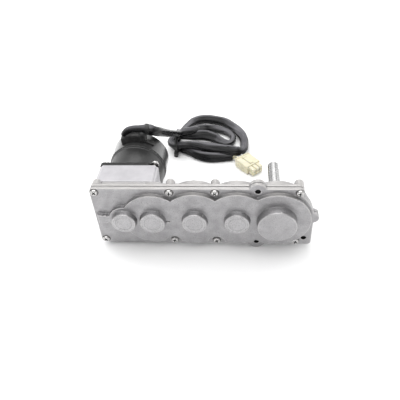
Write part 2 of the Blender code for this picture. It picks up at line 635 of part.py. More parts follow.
def make_motor_case(materials):
    adapter = prism("motor_adapter", materials["adapter"], square_outline(), *ADAPTER_Y)
    threads = [(point, 1.8, ADAPTER_Y[1] - 10.0, ADAPTER_Y[1] + 1, COARSE) for point in motor_corners()]
    threads.append((MOTOR_AXIS, 23.0, ADAPTER_Y[0] - 1, ADAPTER_Y[1] + 1, FINE))
    cut(adapter, rods("adapter_bores", materials["adapter"], threads))

    plate = prism("motor_mount_plate", materials["black_steel"], square_outline(), *MOUNT_PLATE_Y)
    holes = [(point, 2.1, MOUNT_PLATE_Y[0] - 1, MOUNT_PLATE_Y[1] + 1, COARSE) for point in motor_corners()]
    holes.append((MOTOR_AXIS, 8.0, MOUNT_PLATE_Y[0] - 1, MOUNT_PLATE_Y[1] + 1, MEDIUM))
    cut(plate, rods("plate_holes", materials["black_steel"], holes))

    for number, point in enumerate(motor_corners(), start=1):
        make_screw(f"motor_screw_{number}", materials["nickel"], point, MOUNT_PLATE_Y[1] + GAP, -1,
                   MOTOR_SCREW_LENGTH, MOTOR_SCREW_HEAD_RADIUS, MOTOR_SCREW_SHANK_RADIUS)

    front, back = FRONT_CASE_Y
    outer = FRONT_CASE_RADIUS
    profile = [(BUSH_RADIUS + GAP, front), (outer - 0.8, front), (outer, front + 0.8), (outer, back),
               (outer - CASE_WALL, back), (outer - CASE_WALL, front + 4.0), (BUSH_RADIUS + GAP, front + 4.0)]
    turned("motor_front_case", materials["grey_paint"], MOTOR_AXIS, profile, FINE, closed=True)

    front, back = CAN_Y
    outer = CAN_RADIUS
    profile = [(outer, front), (outer, back - 2.5), (outer - 0.7, back - 0.7), (outer - 2.5, back), (0, back),
               (0, back - 2.0), (BUSH_RADIUS + GAP, back - 2.0), (BUSH_RADIUS + GAP, back - 6.0),
               (BUSH_RADIUS + 2.2, back - 6.0), (BUSH_RADIUS + 2.2, back - CASE_WALL),
               (outer - CASE_WALL, back - CASE_WALL), (outer - CASE_WALL, front)]
    turned("motor_can", materials["gloss_black"], MOTOR_AXIS, profile, FINE, closed=True)


def magnet_outline(middle):
    inner = arc(MOTOR_AXIS, MAGNET_RADII[0], middle - 66, middle + 66, 14)
    outer = arc(MOTOR_AXIS, MAGNET_RADII[1], middle + 66, middle - 66, 14)
    return inner + outer


def make_motor_inside(materials):
    axis = MOTOR_AXIS
    bronze = materials["bronze"]
    front = FRONT_CASE_Y[0]
    tube("motor_bush_front", bronze, axis, MOTOR_SHAFT_RADIUS + GAP, BUSH_RADIUS,
         front + 0.2, front + 4.2, MEDIUM)
    tube("motor_bush_rear", bronze, axis, MOTOR_SHAFT_RADIUS + GAP, BUSH_RADIUS,
         CAN_Y[1] - 6.0, CAN_Y[1] - 2.0 - GAP, MEDIUM)
    prism("magnet_upper", materials["ferrite"], magnet_outline(90), *MAGNET_Y)
    prism("magnet_lower", materials["ferrite"], magnet_outline(270), *MAGNET_Y)
    tube("brush_holder", materials["phenolic"], axis, *BRUSH_HOLDER_RADII, *BRUSH_HOLDER_Y, MEDIUM)
    for name, side in (("brush_left", -1), ("brush_right", 1)):
        near, far = (SHAFT_X[0] + side * reach for reach in BRUSH_REACH)
        outline = rounded_rectangle((min(near, far), -BRUSH_HALF_HEIGHT), (max(near, far), BRUSH_HALF_HEIGHT),
                                    0.3, 1)
        prism(name, materials["carbon"], outline, *BRUSH_Y)

    # the rotor: pinion shaft, coupling, armature shaft, core, windings and commutator
    steel = materials["steel"]
    pinion_front = BOSS_FRONT[0] + WALL + 2 * GAP
    shaft_ends = (("pinion_shaft", pinion_front, SHAFT_JOINT_Y[0]),
                  ("armature_shaft", SHAFT_JOINT_Y[1], CAN_Y[1] - 2.0 - 2 * GAP))
    for name, start, end in shaft_ends:
        profile = [(0, start), (MOTOR_SHAFT_RADIUS, start), (MOTOR_SHAFT_RADIUS, end), (0, end)]
        turned(name, steel, axis, profile, MEDIUM)
    tube("shaft_coupling", steel, axis, MOTOR_SHAFT_RADIUS + GAP, COUPLING_RADIUS, *COUPLING_Y, MEDIUM)

    core = prism("armature_core", materials["laminations"], circle(axis, CORE_RADIUS, 32), *CORE_Y,
                 pivot=(axis[0], 0.0, axis[1]))
    through = (CORE_Y[0] - 1, CORE_Y[1] + 1)
    cut(core, rods("core_bore", steel, [(axis, MOTOR_SHAFT_RADIUS + GAP, *through, MEDIUM)]))
    slot_step = 360 / CORE_SLOTS
    slot_middles = [arc(axis, CORE_SLOT_CIRCLE, slot_step * slot, slot_step * slot + 1, 1)[0]
                    for slot in range(CORE_SLOTS)]
    slots = [(point, CORE_SLOT_RADIUS, *through, COARSE) for point in slot_middles]
    cut(core, rods("core_slots", steel, slots))

    copper = materials["copper"]
    ring_front = (CORE_Y[0] - WINDING_LENGTH, CORE_Y[0] - GAP)
    ring_back = (CORE_Y[1] + GAP, CORE_Y[1] + WINDING_LENGTH)
    windings = tube("armature_windings", copper, axis, *WINDING_RADII, *ring_front, MEDIUM)
    join(windings, tube("back_ring", copper, axis, *WINDING_RADII, *ring_back, MEDIUM))
    bars = [(point, WINDING_BAR_RADIUS, ring_front[0] + 1, ring_back[1] - 1, COARSE)
            for point in slot_middles]
    join(windings, rods("winding_bars", materials["copper"], bars))
    tube("commutator", materials["copper"], axis, MOTOR_SHAFT_RADIUS + GAP, 9.0, 78.0, 86.6, MEDIUM)


# ------------------------------------------------------------------ cable

def smooth_route(points, step):
    """Points a given step apart along one smooth curve through the route's own points."""
    route = [Vector(point) for point in points]
    ends = [2 * route[0] - route[1]] + route + [2 * route[-1] - route[-2]]
    fine = []
    for before, start, end, after in zip(ends, ends[1:], ends[2:], ends[3:]):
        reach = (end - start).length / 3
        leave = start + (end - before).normalized() * reach
        arrive = end - (after - start).normalized() * reach
        fine += interpolate_bezier(start, leave, arrive, end, 24)[:-1]
    fine.append(route[-1])
    total = sum((second - first).length for first, second in zip(fine, fine[1:]))
    spacing = total / max(1, round(total / step))
    picked = [fine[0]]
    walked = 0.0
    for first, second in zip(fine, fine[1:]):
        walked += (second - first).length
        if walked >= spacing * len(picked) and len(picked) * spacing < total - spacing / 2:
            picked.append(second)
    return picked[:1] + route[1:2] + picked[1:] + route[-2:]


def make_cord(name, material, points, radius, step):
    curve = bpy.data.curves.new(name, "CURVE")
    curve.dimensions = "3D"
    curve.bevel_depth = radius * MM
    curve.bevel_resolution = 2
    curve.use_fill_caps = True
    picked = smooth_route(points, step)
    spline = curve.splines.new("POLY")
    spline.points.add(len(picked) - 1)
    for spline_point, place in zip(spline.points, picked):
        spline_point.co = (*station(*place), 1.0)
    curve.materials.append(material)
    piece = bpy.data.objects.new(name, curve)
    bpy.context.scene.collection.objects.link(piece)
    return piece


def make_cable(materials):
    rubber = materials["rubber"]
    boot = prism("cable_boot", rubber, boot_outline(), *BOOT_Y)
    saddle = [(MOTOR_AXIS, CAN_RADIUS + 2 * GAP, BOOT_Y[0] - 5, BOOT_Y[1] + 5, 2 * FINE)]
    cut(boot, rods("boot_saddle", rubber, saddle))

    make_cord("motor_cable", materials["sleeve"], CABLE_ROUTE, CABLE_RADIUS, CABLE_STEP)

    outline = []
    for centre, radius in HANK_DISCS:
        outline += circle(centre, radius, MEDIUM)
    hull = [outline[index] for index in convex_hull_2d([Vector(point) for point in outline])]
    low = [Vector((x, y, FLOOR + HANK_LIFT)) for x, y in hull]
    high = [Vector((x, y, FLOOR + HANK_HEIGHT)) for x, y in hull]
    bm = bmesh.new()
    add_block(bm, low, high)
    finish_mesh(bm, "cable_hank", materials["sleeve"], (0.0, 0.0, 0.0))
    make_ties(materials)


def add_block(bm, low, high):
    """Close two matching rings of points into one solid."""
    first = [bm.verts.new(place) for place in low]
    last = [bm.verts.new(place) for place in high]
    bm.faces.new(first)
    bm.faces.new(list(reversed(last)))
    for index in range(len(first)):
        following = (index + 1) % len(first)
        bm.faces.new((first[index], first[following], last[following], last[index]))


def make_block(name, material, centre, along, size):
    """Upright box with its length on the level direction along; size is length, width, height."""
    across = Vector((-along.y, along.x, 0.0))
    corners = []
    for u, v in ((-0.5, -0.5), (0.5, -0.5), (0.5, 0.5), (-0.5, 0.5)):
        corners.append(centre + along * size[0] * u + across * size[1] * v)
    lift = Vector((0.0, 0.0, size[2] / 2))
    bm = bmesh.new()
    add_block(bm, [corner - lift for corner in corners], [corner + lift for corner in corners])
    return finish_mesh(bm, name, material, (0.0, 0.0, 0.0))


def make_ties(materials):
    """Nylon ties: a band round the hank's narrow end, and a band round the cable beside its boot."""
    black = materials["rubber"]
    along = Vector((1.0, 0.0, 0.0))
    centre = Vector((*HANK_TIE_CENTRE, FLOOR + (HANK_HEIGHT + HANK_LIFT) / 2))
    inner = (TIE_WIDTH * 3, 2 * HANK_TIE_HALF_WIDTH, HANK_HEIGHT - HANK_LIFT + 2 * GAP)
    outer = (TIE_WIDTH, inner[1] + 2 * TIE_THICKNESS, inner[2] + 2 * TIE_THICKNESS)
    band = make_block("cable_tie_hank", black, centre, along, outer)
    head = centre - Vector((0.0, HANK_TIE_HALF_WIDTH + 2.5, 8.0))
    join(band, make_block("tie_head", black, head, along, (6.0, 5.0, 5.0)))
    cut(band, make_block("tie_space", black, centre, along, inner))
    make_boot_tie(black)


def make_boot_tie(material):
    """Round band, across the cable's direction, just past the arch over the boot."""
    before, middle, after = (Vector(point) for point in CABLE_ROUTE[SLEEVE_TIE - 1:SLEEVE_TIE + 2])
    direction = (after - before).normalized()
    turn = direction.to_track_quat("Y", "Z")
    bm = bmesh.new()
    inner = CABLE_RADIUS + CABLE_TIE_ROOM
    outer = inner + TIE_THICKNESS
    half = TIE_WIDTH / 2
    profile = [(inner, -half), (outer, -half), (outer, half), (inner, half)]
    add_turned(bm, (0.0, 0.0), profile, MEDIUM, closed=True)
    for vertex in bm.verts:
        vertex.co = middle + turn @ vertex.co
    finish_mesh(bm, "cable_tie_boot", material, tuple(middle))


def boot_outline():
    """Rubber boot on the can's top: a low block whose left end turns up into the cable outlet."""
    x = SHAFT_X[0]
    return [(x - 15.0, 24.0), (x + 11.0, 24.0), (x + 11.0, 35.0), (x + 9.5, 36.5),
            (x - 4.5, 37.5), (x - 5.5, 35.7), (x - 14.1, 35.7), (x - 15.0, 34.7)]


def make_connector(materials):
    """Nylon plug at the end of the cable, lying on the floor and turned towards the gearbox."""
    heading = math.radians(CONNECTOR_HEADING)
    along = Vector((math.cos(heading), math.sin(heading), 0.0))
    start = Vector((*CONNECTOR_START, FLOOR + GAP + CONNECTOR_SIZE[2] / 2))
    centre = start + along * CONNECTOR_SIZE[0] / 2
    make_block("connector_housing", materials["nylon"], centre, along, CONNECTOR_SIZE)


def main():
    for leftover in list(bpy.data.objects):
        bpy.data.objects.remove(leftover)
    materials = make_materials()
    make_cover(materials)
    make_gasket(materials)
    make_housing(materials)
    make_cover_screws(materials)
    make_bushes(materials)
    make_gear_train(materials)
    make_output(materials)
    make_motor_case(materials)
    make_motor_inside(materials)
    make_cable(materials)
    make_connector(materials)


main()
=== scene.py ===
import math

import bmesh
import bpy
import numpy as np
from mathutils import Matrix, Vector, noise
from mathutils.geometry import interpolate_bezier


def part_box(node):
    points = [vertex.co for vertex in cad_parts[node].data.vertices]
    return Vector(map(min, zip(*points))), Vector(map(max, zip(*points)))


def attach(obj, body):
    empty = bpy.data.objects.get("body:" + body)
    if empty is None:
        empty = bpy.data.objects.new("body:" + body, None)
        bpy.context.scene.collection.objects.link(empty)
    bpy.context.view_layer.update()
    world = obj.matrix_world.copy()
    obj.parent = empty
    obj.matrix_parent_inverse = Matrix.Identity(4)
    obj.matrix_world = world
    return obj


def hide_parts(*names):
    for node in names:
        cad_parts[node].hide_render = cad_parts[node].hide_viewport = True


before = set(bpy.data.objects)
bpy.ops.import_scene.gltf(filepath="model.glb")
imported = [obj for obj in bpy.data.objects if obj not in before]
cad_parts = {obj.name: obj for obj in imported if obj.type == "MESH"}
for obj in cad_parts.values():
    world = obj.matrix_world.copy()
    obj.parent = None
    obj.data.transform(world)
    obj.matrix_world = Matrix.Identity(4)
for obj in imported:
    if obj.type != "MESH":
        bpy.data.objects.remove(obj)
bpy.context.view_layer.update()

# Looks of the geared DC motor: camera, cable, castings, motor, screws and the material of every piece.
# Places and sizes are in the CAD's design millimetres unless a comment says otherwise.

MM = 0.001
PER_METRE = 1000.0
ORIGIN = Vector((108.0, 43.45, -41.4))          # the CAD's world origin, in its design millimetres
FLOOR = -41.4
X_AXIS = Vector((1, 0, 0))
Y_AXIS = Vector((0, 1, 0))
Z_AXIS = Vector((0, 0, 1))
SHAFT_X = (29.6, 57.6, 98.1, 138.6, 176.1)
SMOOTH_ANGLE = math.radians(32)
MOUNT_HOLES = ((157.6, 33.0), (157.6, -33.0), (203.4, -27.0))
SCALLOP_SCREW_X = (75.6, 118.1)
SCALLOP_SCREW_Z = 31.5
PLATEAU_LOBES = ((57.6, 30.4), (98.1, 32.2), (138.6, 32.2))     # x of each centre, and its radius


def station(x, y, z):
    """World position, in metres, of a design point in millimetres."""
    return (Vector((x, y, z)) - ORIGIN) * MM


def design_place(vertex):
    """Design point, in millimetres, of a vertex whose place is in world metres."""
    return vertex.co * PER_METRE + ORIGIN


def ease(value, low, high):
    """Smooth step from 0 at low to 1 at high."""
    share = min(max((value - low) / (high - low), 0.0), 1.0)
    return share * share * (3 - 2 * share)


def placed(name, data):
    """A new object in the scene that shows the data."""
    thing = bpy.data.objects.new(name, data)
    bpy.context.scene.collection.objects.link(thing)
    return thing


def turns(count):
    """Evenly spaced angles round a full turn."""
    return [2 * math.pi * step / count for step in range(count)]


def heading_at(places, index):
    """Direction of a path at one of its places, from the places beside it."""
    before = places[max(index - 1, 0)]
    after = places[min(index + 1, len(places) - 1)]
    return (after - before).normalized()


# ------------------------------------------------------------------ materials

EDGE_POINTINESS = (0.505, 0.56)         # where an edge starts to look worn, lighter in part as a painted highlight, and where it is fully so
# where painted shade in a hollow starts, and where it is full
HOLLOW_POINTINESS = (0.495, 0.44)
SPECK_SOFTNESS = 0.06
# the painted highlight on upward faces grows between these
TOP_HIGHLIGHT_FACING = (0.35, 0.85)            # upward part of the normal
# the painted streaked highlight on upward faces is full from here
SHEEN_FULL_FACING = 0.95
NOISE_SPREAD = (0.3, 0.7)               # the noise values between which a pattern runs
# strengths of the streaks in that painted highlight
SHEEN_STREAKS = (0.35, 1.0)
ROUGHNESS_PATTERN = 3.1                 # finer than the pattern of tones by this much


def add(tree, kind, **settings):
    """A shader node with its settings."""
    node = tree.nodes.new(kind)
    for key, value in settings.items():
        setattr(node, key, value)
    return node


def object_place(tree, stretch=(1.0, 1.0, 1.0)):
    """Object coordinates in metres, squeezed along the axes where the pattern should be long."""
    place = add(tree, "ShaderNodeTexCoord")
    scale = add(tree, "ShaderNodeVectorMath", operation="MULTIPLY")
    scale.inputs[1].default_value = stretch
    tree.links.new(place.outputs["Object"], scale.inputs[0])
    return scale.outputs["Vector"]


def noise_value(tree, place, scale, detail=4.0, roughness=0.55):
    """Noise with the given number of features per metre."""
    node = add(tree, "ShaderNodeTexNoise")
    node.inputs["Scale"].default_value = scale
    node.inputs["Detail"].default_value = detail
    node.inputs["Roughness"].default_value = roughness
    tree.links.new(place, node.inputs["Vector"])
    return node.outputs["Fac"]


def ramp(tree, factor, stops):
    """Colour that runs through (position, colour) stops."""
    node = add(tree, "ShaderNodeValToRGB")
    elements = node.color_ramp.elements
    for index, (position, colour) in enumerate(stops):
        element = elements[index] if index < 2 else elements.new(position)
        element.position = position
        element.color = (*colour, 1.0)
    tree.links.new(factor, node.inputs["Fac"])
    return node.outputs["Color"]


def to_range(tree, value, low, high, new_low, new_high):
    """The value moved from one range to another, and held at its ends."""
    node = add(tree, "ShaderNodeMapRange")
    limits = ("From Min", low), ("From Max", high), ("To Min", new_low), ("To Max", new_high)
    for socket, number in limits:
        node.inputs[socket].default_value = number
    tree.links.new(value, node.inputs["Value"])
    return node.outputs["Result"]


def mix_colour(tree, factor, first, second, blend_type="MIX"):
    """Mix of two colours, each a socket or a plain colour."""
    node = add(tree, "ShaderNodeMix", data_type="RGBA", blend_type=blend_type)
    for socket, value in ((node.inputs[0], factor), (node.inputs[6], first), (node.inputs[7], second)):
        if isinstance(value, bpy.types.NodeSocket):
            tree.links.new(value, socket)
        else:
            socket.default_value = value if isinstance(value, float) else (*value, 1.0)
    return node.outputs[2]


def height_of(tree, vector):
    """The z of a vector socket."""
    parts = add(tree, "ShaderNodeSeparateXYZ")
    tree.links.new(vector, parts.inputs[0])
    return parts.outputs["Z"]


def upward_normal(tree):
    return height_of(tree, add(tree, "ShaderNodeNewGeometry").outputs["Normal"])


def product(tree, first, second):
    both = add(tree, "ShaderNodeMath", operation="MULTIPLY")
    tree.links.new(first, both.inputs[0])
    tree.links.new(second, both.inputs[1])
    return both.outputs[0]


def painted_top_highlight(tree, colour, top_highlight_painted):
    """Painted highlight: lighten the upward faces above a given height, standing in for the light that a
    flange's tops catch.
    """
    low, high, strength, bright = top_highlight_painted
    height = to_range(tree, height_of(tree, object_place(tree)), low, high, 0.0, strength)
    facing = to_range(tree, upward_normal(tree), *TOP_HIGHLIGHT_FACING, 0.0, 1.0)
    return mix_colour(tree, product(tree, height, facing), colour, bright)


def mesh_mark(tree, name):
    """Strength, from 0 to 1, that a mesh stores at its points under a name; 0 where it stores none."""
    return add(tree, "ShaderNodeAttribute", attribute_name=name).outputs["Fac"]


def painted_top_sheen(tree, spot, colour, sheen_painted):
    """Painted highlight: lighten the upward faces in lengthwise streaks, standing in for the sheen on a dark
    sleeve's tops.
    """
    scale, lowest, strength, bright = sheen_painted
    facing = to_range(tree, upward_normal(tree), lowest, SHEEN_FULL_FACING, 0.0, strength)
    streaks = to_range(tree, noise_value(tree, spot, scale), *NOISE_SPREAD, *SHEEN_STREAKS)
    return mix_colour(tree, product(tree, facing, streaks), colour, bright)


def surface(name, tones, tone_scale, roughness, metallic=0.0, bumps=(), stretch=(1.0, 1.0, 1.0), specks=None,
            wear_and_painted_light=None, place=None, top_highlight_painted=None, sheen_painted=None, rubbed=None, painted_hole_shade=None, **constants):
    """One procedural finish.

    tones are (position, colour) stops along a noise of tone_scale per metre, roughness is its lowest and
    highest value, bumps are (noise scale, height in metres), and specks are (scale, threshold, colour).
    The edge and hollow colours give worn edges, lighter in part as a painted highlight, and painted shade in
    hollows, with how strongly. The painted highlight on upward faces takes the two heights between which it
    grows, in metres, its strength and colour. The painted streaked highlight on upward faces takes the scale
    of its streaks, the least upward part of the normal, its strength and colour. rubbed is a colour where
    the mesh has marks so named, and the mounting holes' painted shade is a colour where the mesh has its own
    marks. place is what the pattern follows, if not the object.
    """
    material = bpy.data.materials.new(name)
    material.use_nodes = True
    tree = material.node_tree
    shader = tree.nodes["Principled BSDF"]
    for socket, value in constants.items():
        shader.inputs[socket.replace("_", " ")].default_value = value
    shader.inputs["Metallic"].default_value = metallic
    spot = place(tree) if place else object_place(tree, stretch)
    colour = ramp(tree, noise_value(tree, spot, tone_scale, 5.0), tones)
    if rubbed:
        colour = mix_colour(tree, mesh_mark(tree, "rubbed"), colour, rubbed)
    if specks:
        scale, threshold, speck_colour = specks
        dots = noise_value(tree, spot, scale, 2.0)
        dots = to_range(tree, dots, threshold, threshold + SPECK_SOFTNESS, 0.0, 1.0)
        colour = mix_colour(tree, dots, colour, speck_colour)
    # worn edges, lighter in part as a painted highlight, and painted shade in hollows
    if wear_and_painted_light:
        edge_colour, hollow_shade_colour, strength = wear_and_painted_light
        shape = add(tree, "ShaderNodeNewGeometry").outputs["Pointiness"]
        edges = to_range(tree, shape, *EDGE_POINTINESS, 0.0, strength)
        hollows = to_range(tree, shape, *HOLLOW_POINTINESS, 0.0, strength)
        colour = mix_colour(tree, edges, colour, edge_colour)
        colour = mix_colour(tree, hollows, colour, hollow_shade_colour)
    # painted highlight on upward faces
    if top_highlight_painted:
        colour = painted_top_highlight(tree, colour, top_highlight_painted)
    # painted shade in the mounting holes
    if painted_hole_shade:
        colour = mix_colour(tree, mesh_mark(tree, "painted_hole_shade"), colour, painted_hole_shade)
    # painted streaked highlight on upward faces
    if sheen_painted:
        colour = painted_top_sheen(tree, spot, colour, sheen_painted)
    tree.links.new(colour, shader.inputs["Base Color"])
    uneven = noise_value(tree, spot, tone_scale * ROUGHNESS_PATTERN, 3.0)
    tree.links.new(to_range(tree, uneven, *NOISE_SPREAD, *roughness), shader.inputs["Roughness"])
    normal = None
    for scale, height in bumps:
        bump = add(tree, "ShaderNodeBump")
        bump.inputs["Distance"].default_value = height
        tree.links.new(noise_value(tree, spot, scale, 3.0, 0.6), bump.inputs["Height"])
        if normal:
            tree.links.new(normal, bump.inputs["Normal"])
        normal = bump.outputs["Normal"]
    if normal:
        tree.links.new(normal, shader.inputs["Normal"])
    return material


def grey(value, warmth=0.0):
    return (value * (1 + warmth), value, value * (1 - warmth))


def greys(dark, light, warmth=0.0):
    """Stops of a finish that runs between two greys."""
    return [(0.3, grey(dark, warmth)), (0.7, grey(light, warmth))]


def cord_place(tree):
    """Coordinates along and round the cable, so that its creases run lengthwise."""
    return add(tree, "ShaderNodeAttribute", attribute_name="cord_place").outputs["Vector"]


def make_finishes():
    """Every finish, by the name that pieces ask for it with."""
    finishes = {}
    # In the finishes below, the edge and hollow colours give worn edges, lighter in part as a painted
    # highlight, and painted shade in hollows.
    cast_tones = [(0.30, (0.345, 0.338, 0.347)), (0.50, (0.40, 0.393, 0.402)), (0.70, (0.455, 0.447, 0.457))]
    finishes["cast"] = surface(
        "cast_aluminium", cast_tones, 110.0, (0.36, 0.48), metallic=0.92,
        bumps=[(130.0, 0.00022), (900.0, 0.00020), (3000.0, 0.00006)],
        specks=(1150.0, 0.57, grey(0.28)), wear_and_painted_light=((0.76, 0.75, 0.74), grey(0.15), 0.8),
        # painted highlight on the flange's upward tops, between these heights
        top_highlight_painted=(0.066, 0.074, 0.7, (0.44, 0.427, 0.414)),
        # painted shade in the mounting holes
        rubbed=(0.60, 0.59, 0.60), painted_hole_shade=grey(0.012))
    finishes["adapter"] = surface(
        "blasted_aluminium", [(0.35, (0.44, 0.43, 0.45)), (0.65, (0.50, 0.49, 0.51))], 90.0, (0.50, 0.60),
        metallic=0.25, bumps=[(2600.0, 0.00006), (320.0, 0.00004)], wear_and_painted_light=(grey(0.86), grey(0.35), 0.6))
    finishes["plate"] = surface(
        "black_oxide_steel", greys(0.010, 0.028), 140.0, (0.38, 0.55), metallic=0.5,
        bumps=[(1800.0, 0.00003)], wear_and_painted_light=(grey(0.11), grey(0.006), 0.6))
    finishes["front_case"] = surface(
        "grey_painted_steel", greys(0.030, 0.048), 70.0, (0.34, 0.44), metallic=0.35,
        bumps=[(1300.0, 0.00004), (240.0, 0.00005)], wear_and_painted_light=(grey(0.22), grey(0.02), 0.6))
    finishes["can"] = surface(
        "gloss_black_enamel", greys(0.010, 0.020), 50.0, (0.20, 0.28), metallic=0.25,
        bumps=[(420.0, 0.00005), (90.0, 0.00010)], wear_and_painted_light=(grey(0.10), grey(0.004), 0.5),
        Coat_Weight=1.0, Coat_Roughness=0.30, Coat_IOR=1.55)
    finishes["joint_ring"] = surface(
        "worn_steel_ring", greys(0.16, 0.26), 300.0, (0.3, 0.45), metallic=0.8,
        bumps=[(1500.0, 0.00003)])
    finishes["rubber"] = surface(
        "black_rubber", greys(0.008, 0.030), 260.0, (0.30, 0.55),
        bumps=[(500.0, 0.00040), (3200.0, 0.00010)], wear_and_painted_light=(grey(0.08), grey(0.003), 0.8),
        # painted streaked highlight on the rubber's upward faces
        sheen_painted=(300.0, 0.4, 0.7, grey(0.10)))
    finishes["tie"] = surface(
        "black_nylon", greys(0.012, 0.022), 300.0, (0.34, 0.46),
        bumps=[(1500.0, 0.00005)])
    finishes["sleeve"] = surface(
        "black_sleeve", [(0.25, grey(0.0020)), (0.75, (0.0045, 0.0042, 0.0058))], 3.0, (0.20, 0.30),
        # painted streaked highlight on the sleeve's upward faces
        bumps=[(1.2, 0.0012), (3.5, 0.0004)], place=cord_place, sheen_painted=(1.6, 0.76, 1.0, (0.150, 0.147, 0.160)),
        Specular_IOR_Level=0.30)
    finishes["nylon"] = surface(
        "cream_nylon", [(0.3, (0.62, 0.585, 0.43)), (0.7, (0.70, 0.665, 0.50))], 110.0, (0.38, 0.50),
        bumps=[(1400.0, 0.00004)], Subsurface_Weight=0.25, Subsurface_Radius=(0.004, 0.003, 0.0015))
    finishes["shaft"] = surface(
        "ground_steel", greys(0.38, 0.45), 60.0, (0.22, 0.32), metallic=1.0,
        stretch=(0.5, 1.6, 0.5), bumps=[(150.0, 0.000004)])
    finishes["nickel"] = surface(
        "nickel_plate", greys(0.46, 0.62, 0.02), 700.0, (0.20, 0.34), metallic=1.0,
        bumps=[(2400.0, 0.00003)], wear_and_painted_light=(grey(0.90), grey(0.10), 0.9))
    # painted shade in the screws' cross recesses
    finishes["recess"] = surface(
        "screw_recess_painted_shade", greys(0.03, 0.08), 900.0, (0.4, 0.6), metallic=0.7,
        bumps=[(2400.0, 0.00003)])
    finishes["bronze"] = surface(
        "sintered_bronze", [(0.3, (0.42, 0.24, 0.10)), (0.7, (0.58, 0.36, 0.17))], 300.0, (0.35, 0.5),
        metallic=1.0, bumps=[(3000.0, 0.00004)])
    finishes["copper"] = surface(
        "enamelled_copper", [(0.3, (0.50, 0.16, 0.06)), (0.7, (0.68, 0.26, 0.10))], 800.0, (0.25, 0.4),
        metallic=0.9, stretch=(1.0, 0.2, 1.0), bumps=[(1400.0, 0.00020)])
    finishes["laminations"] = surface(
        "laminated_steel", greys(0.16, 0.32), 60.0, (0.4, 0.6), metallic=0.9,
        stretch=(0.2, 30.0, 0.2), bumps=[(60.0, 0.00010)])
    finishes["ferrite"] = surface(
        "ferrite", greys(0.030, 0.060), 200.0, (0.55, 0.75), bumps=[(1600.0, 0.00006)])
    finishes["carbon"] = surface(
        "carbon_brush", greys(0.020, 0.050), 400.0, (0.40, 0.60),
        bumps=[(2600.0, 0.00005)])
    finishes["phenolic"] = surface(
        "phenolic_board", [(0.3, (0.16, 0.07, 0.03)), (0.7, (0.24, 0.11, 0.05))], 120.0, (0.40, 0.55),
        stretch=(1.0, 1.0, 0.15), bumps=[(900.0, 0.00004)])
    finishes["paper"] = surface(
        "gasket_paper", greys(0.030, 0.070), 500.0, (0.75, 0.9),
        bumps=[(2200.0, 0.00008)])
    finishes["lead"] = surface(
        "grey_lead", greys(0.55, 0.68), 200.0, (0.35, 0.5), bumps=[(900.0, 0.00003)])
    finishes["floor"] = surface("studio_floor", greys(0.93, 0.94), 4.0, (0.70, 0.75))
    return finishes


FINISH = make_finishes()

# the CAD nodes that keep their own mesh, by finish
CARRIED_NODES = {
    "paper": ("cover_gasket",),
    "rubber": ("oil_seal",),
    "shaft": ("output_bearing_outer", "output_bearing_inner", "pinion_shaft", "armature_shaft",
              "shaft_coupling", "motor_pinion", "first_gear", "first_pinion_shaft", "second_gear",
              "second_pinion_shaft", "third_gear", "third_pinion_shaft", "output_gear", "output_key"),
    "ferrite": ("magnet_upper", "magnet_lower"),
    "phenolic": ("brush_holder",),
    "carbon": ("brush_left", "brush_right"),
    "laminations": ("armature_core",),
    "copper": ("armature_windings", "commutator"),
    "bronze": ("output_bush", "motor_bush_front", "motor_bush_rear", "pinion_bush_front", "pinion_bush_rear",
               "first_bush_front", "first_bush_rear", "second_bush_front", "second_bush_rear",
               "third_bush_front", "third_bush_rear"),
}


def finish_carried_nodes():
    """Give every CAD node that stays in view its own finish."""
    for finish, names in CARRIED_NODES.items():
        for name in names:
            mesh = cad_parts[name].data
            reshade(mesh)
            mesh.materials.append(FINISH[finish])


# ------------------------------------------------------------------ mesh helpers

def put(name, mesh, finish, body="case", replaces=()):
    """A finished piece that rides on a body and may stand for CAD nodes."""
    piece = placed(name, mesh)
    if not mesh.materials:
        mesh.materials.append(FINISH[finish])
    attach(piece, body)
    if replaces:
        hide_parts(*replaces)
    return piece


def reshade(mesh):
    """Clear the mesh's materials and shade it smooth between its sharp edges."""
    mesh.materials.clear()
    mesh.shade_smooth()
    mesh.set_sharp_from_angle(angle=SMOOTH_ANGLE)


def as_mesh(bm, name, smooth=SMOOTH_ANGLE):
    """The bmesh as a smooth mesh with its faces turned outwards."""
    bmesh.ops.recalc_face_normals(bm, faces=bm.faces)
    mesh = bpy.data.meshes.new(name)
    bm.to_mesh(mesh)
    bm.free()
    mesh.shade_smooth()
    mesh.set_sharp_from_angle(angle=smooth)
    return mesh


def baked(source, modifiers):
    """The source mesh with modifiers applied, each given as (type, settings)."""
    holder = placed("holder", source)
    for kind, settings in modifiers:
        modifier = holder.modifiers.new(kind, kind)
        for key, value in settings.items():
            setattr(modifier, key, value)
    evaluated = holder.evaluated_get(bpy.context.evaluated_depsgraph_get())
    mesh = bpy.data.meshes.new_from_object(evaluated)
    bpy.data.objects.remove(holder)
    return mesh


def moulded(source, voxel, rounds):
    """The source mesh as one skin of even small faces, with its edges softened."""
    remesh = ("REMESH", {"mode": "VOXEL", "voxel_size": voxel, "adaptivity": 0.0})
    soften = ("SMOOTH", {"factor": 0.5, "iterations": rounds})
    mesh = baked(source, [remesh, soften])
    mesh.materials.clear()
    mesh.shade_smooth()
    return mesh


def bevelled(source, width, **settings):
    """The source mesh with its sharp edges broken, by a width in metres."""
    return baked(source, [("BEVEL", {"width": width, "segments": 2, "limit_method": "ANGLE", **settings})])


def cut_out(source, cutter, **settings):
    """The source mesh with the cutter's shape taken out of it."""
    tool = placed("cutter", as_mesh(cutter, "cutter"))
    difference = {"operation": "DIFFERENCE", "object": tool, "solver": "EXACT", **settings}
    mesh = baked(source, [("BOOLEAN", difference)])
    bpy.data.objects.remove(tool)
    return mesh


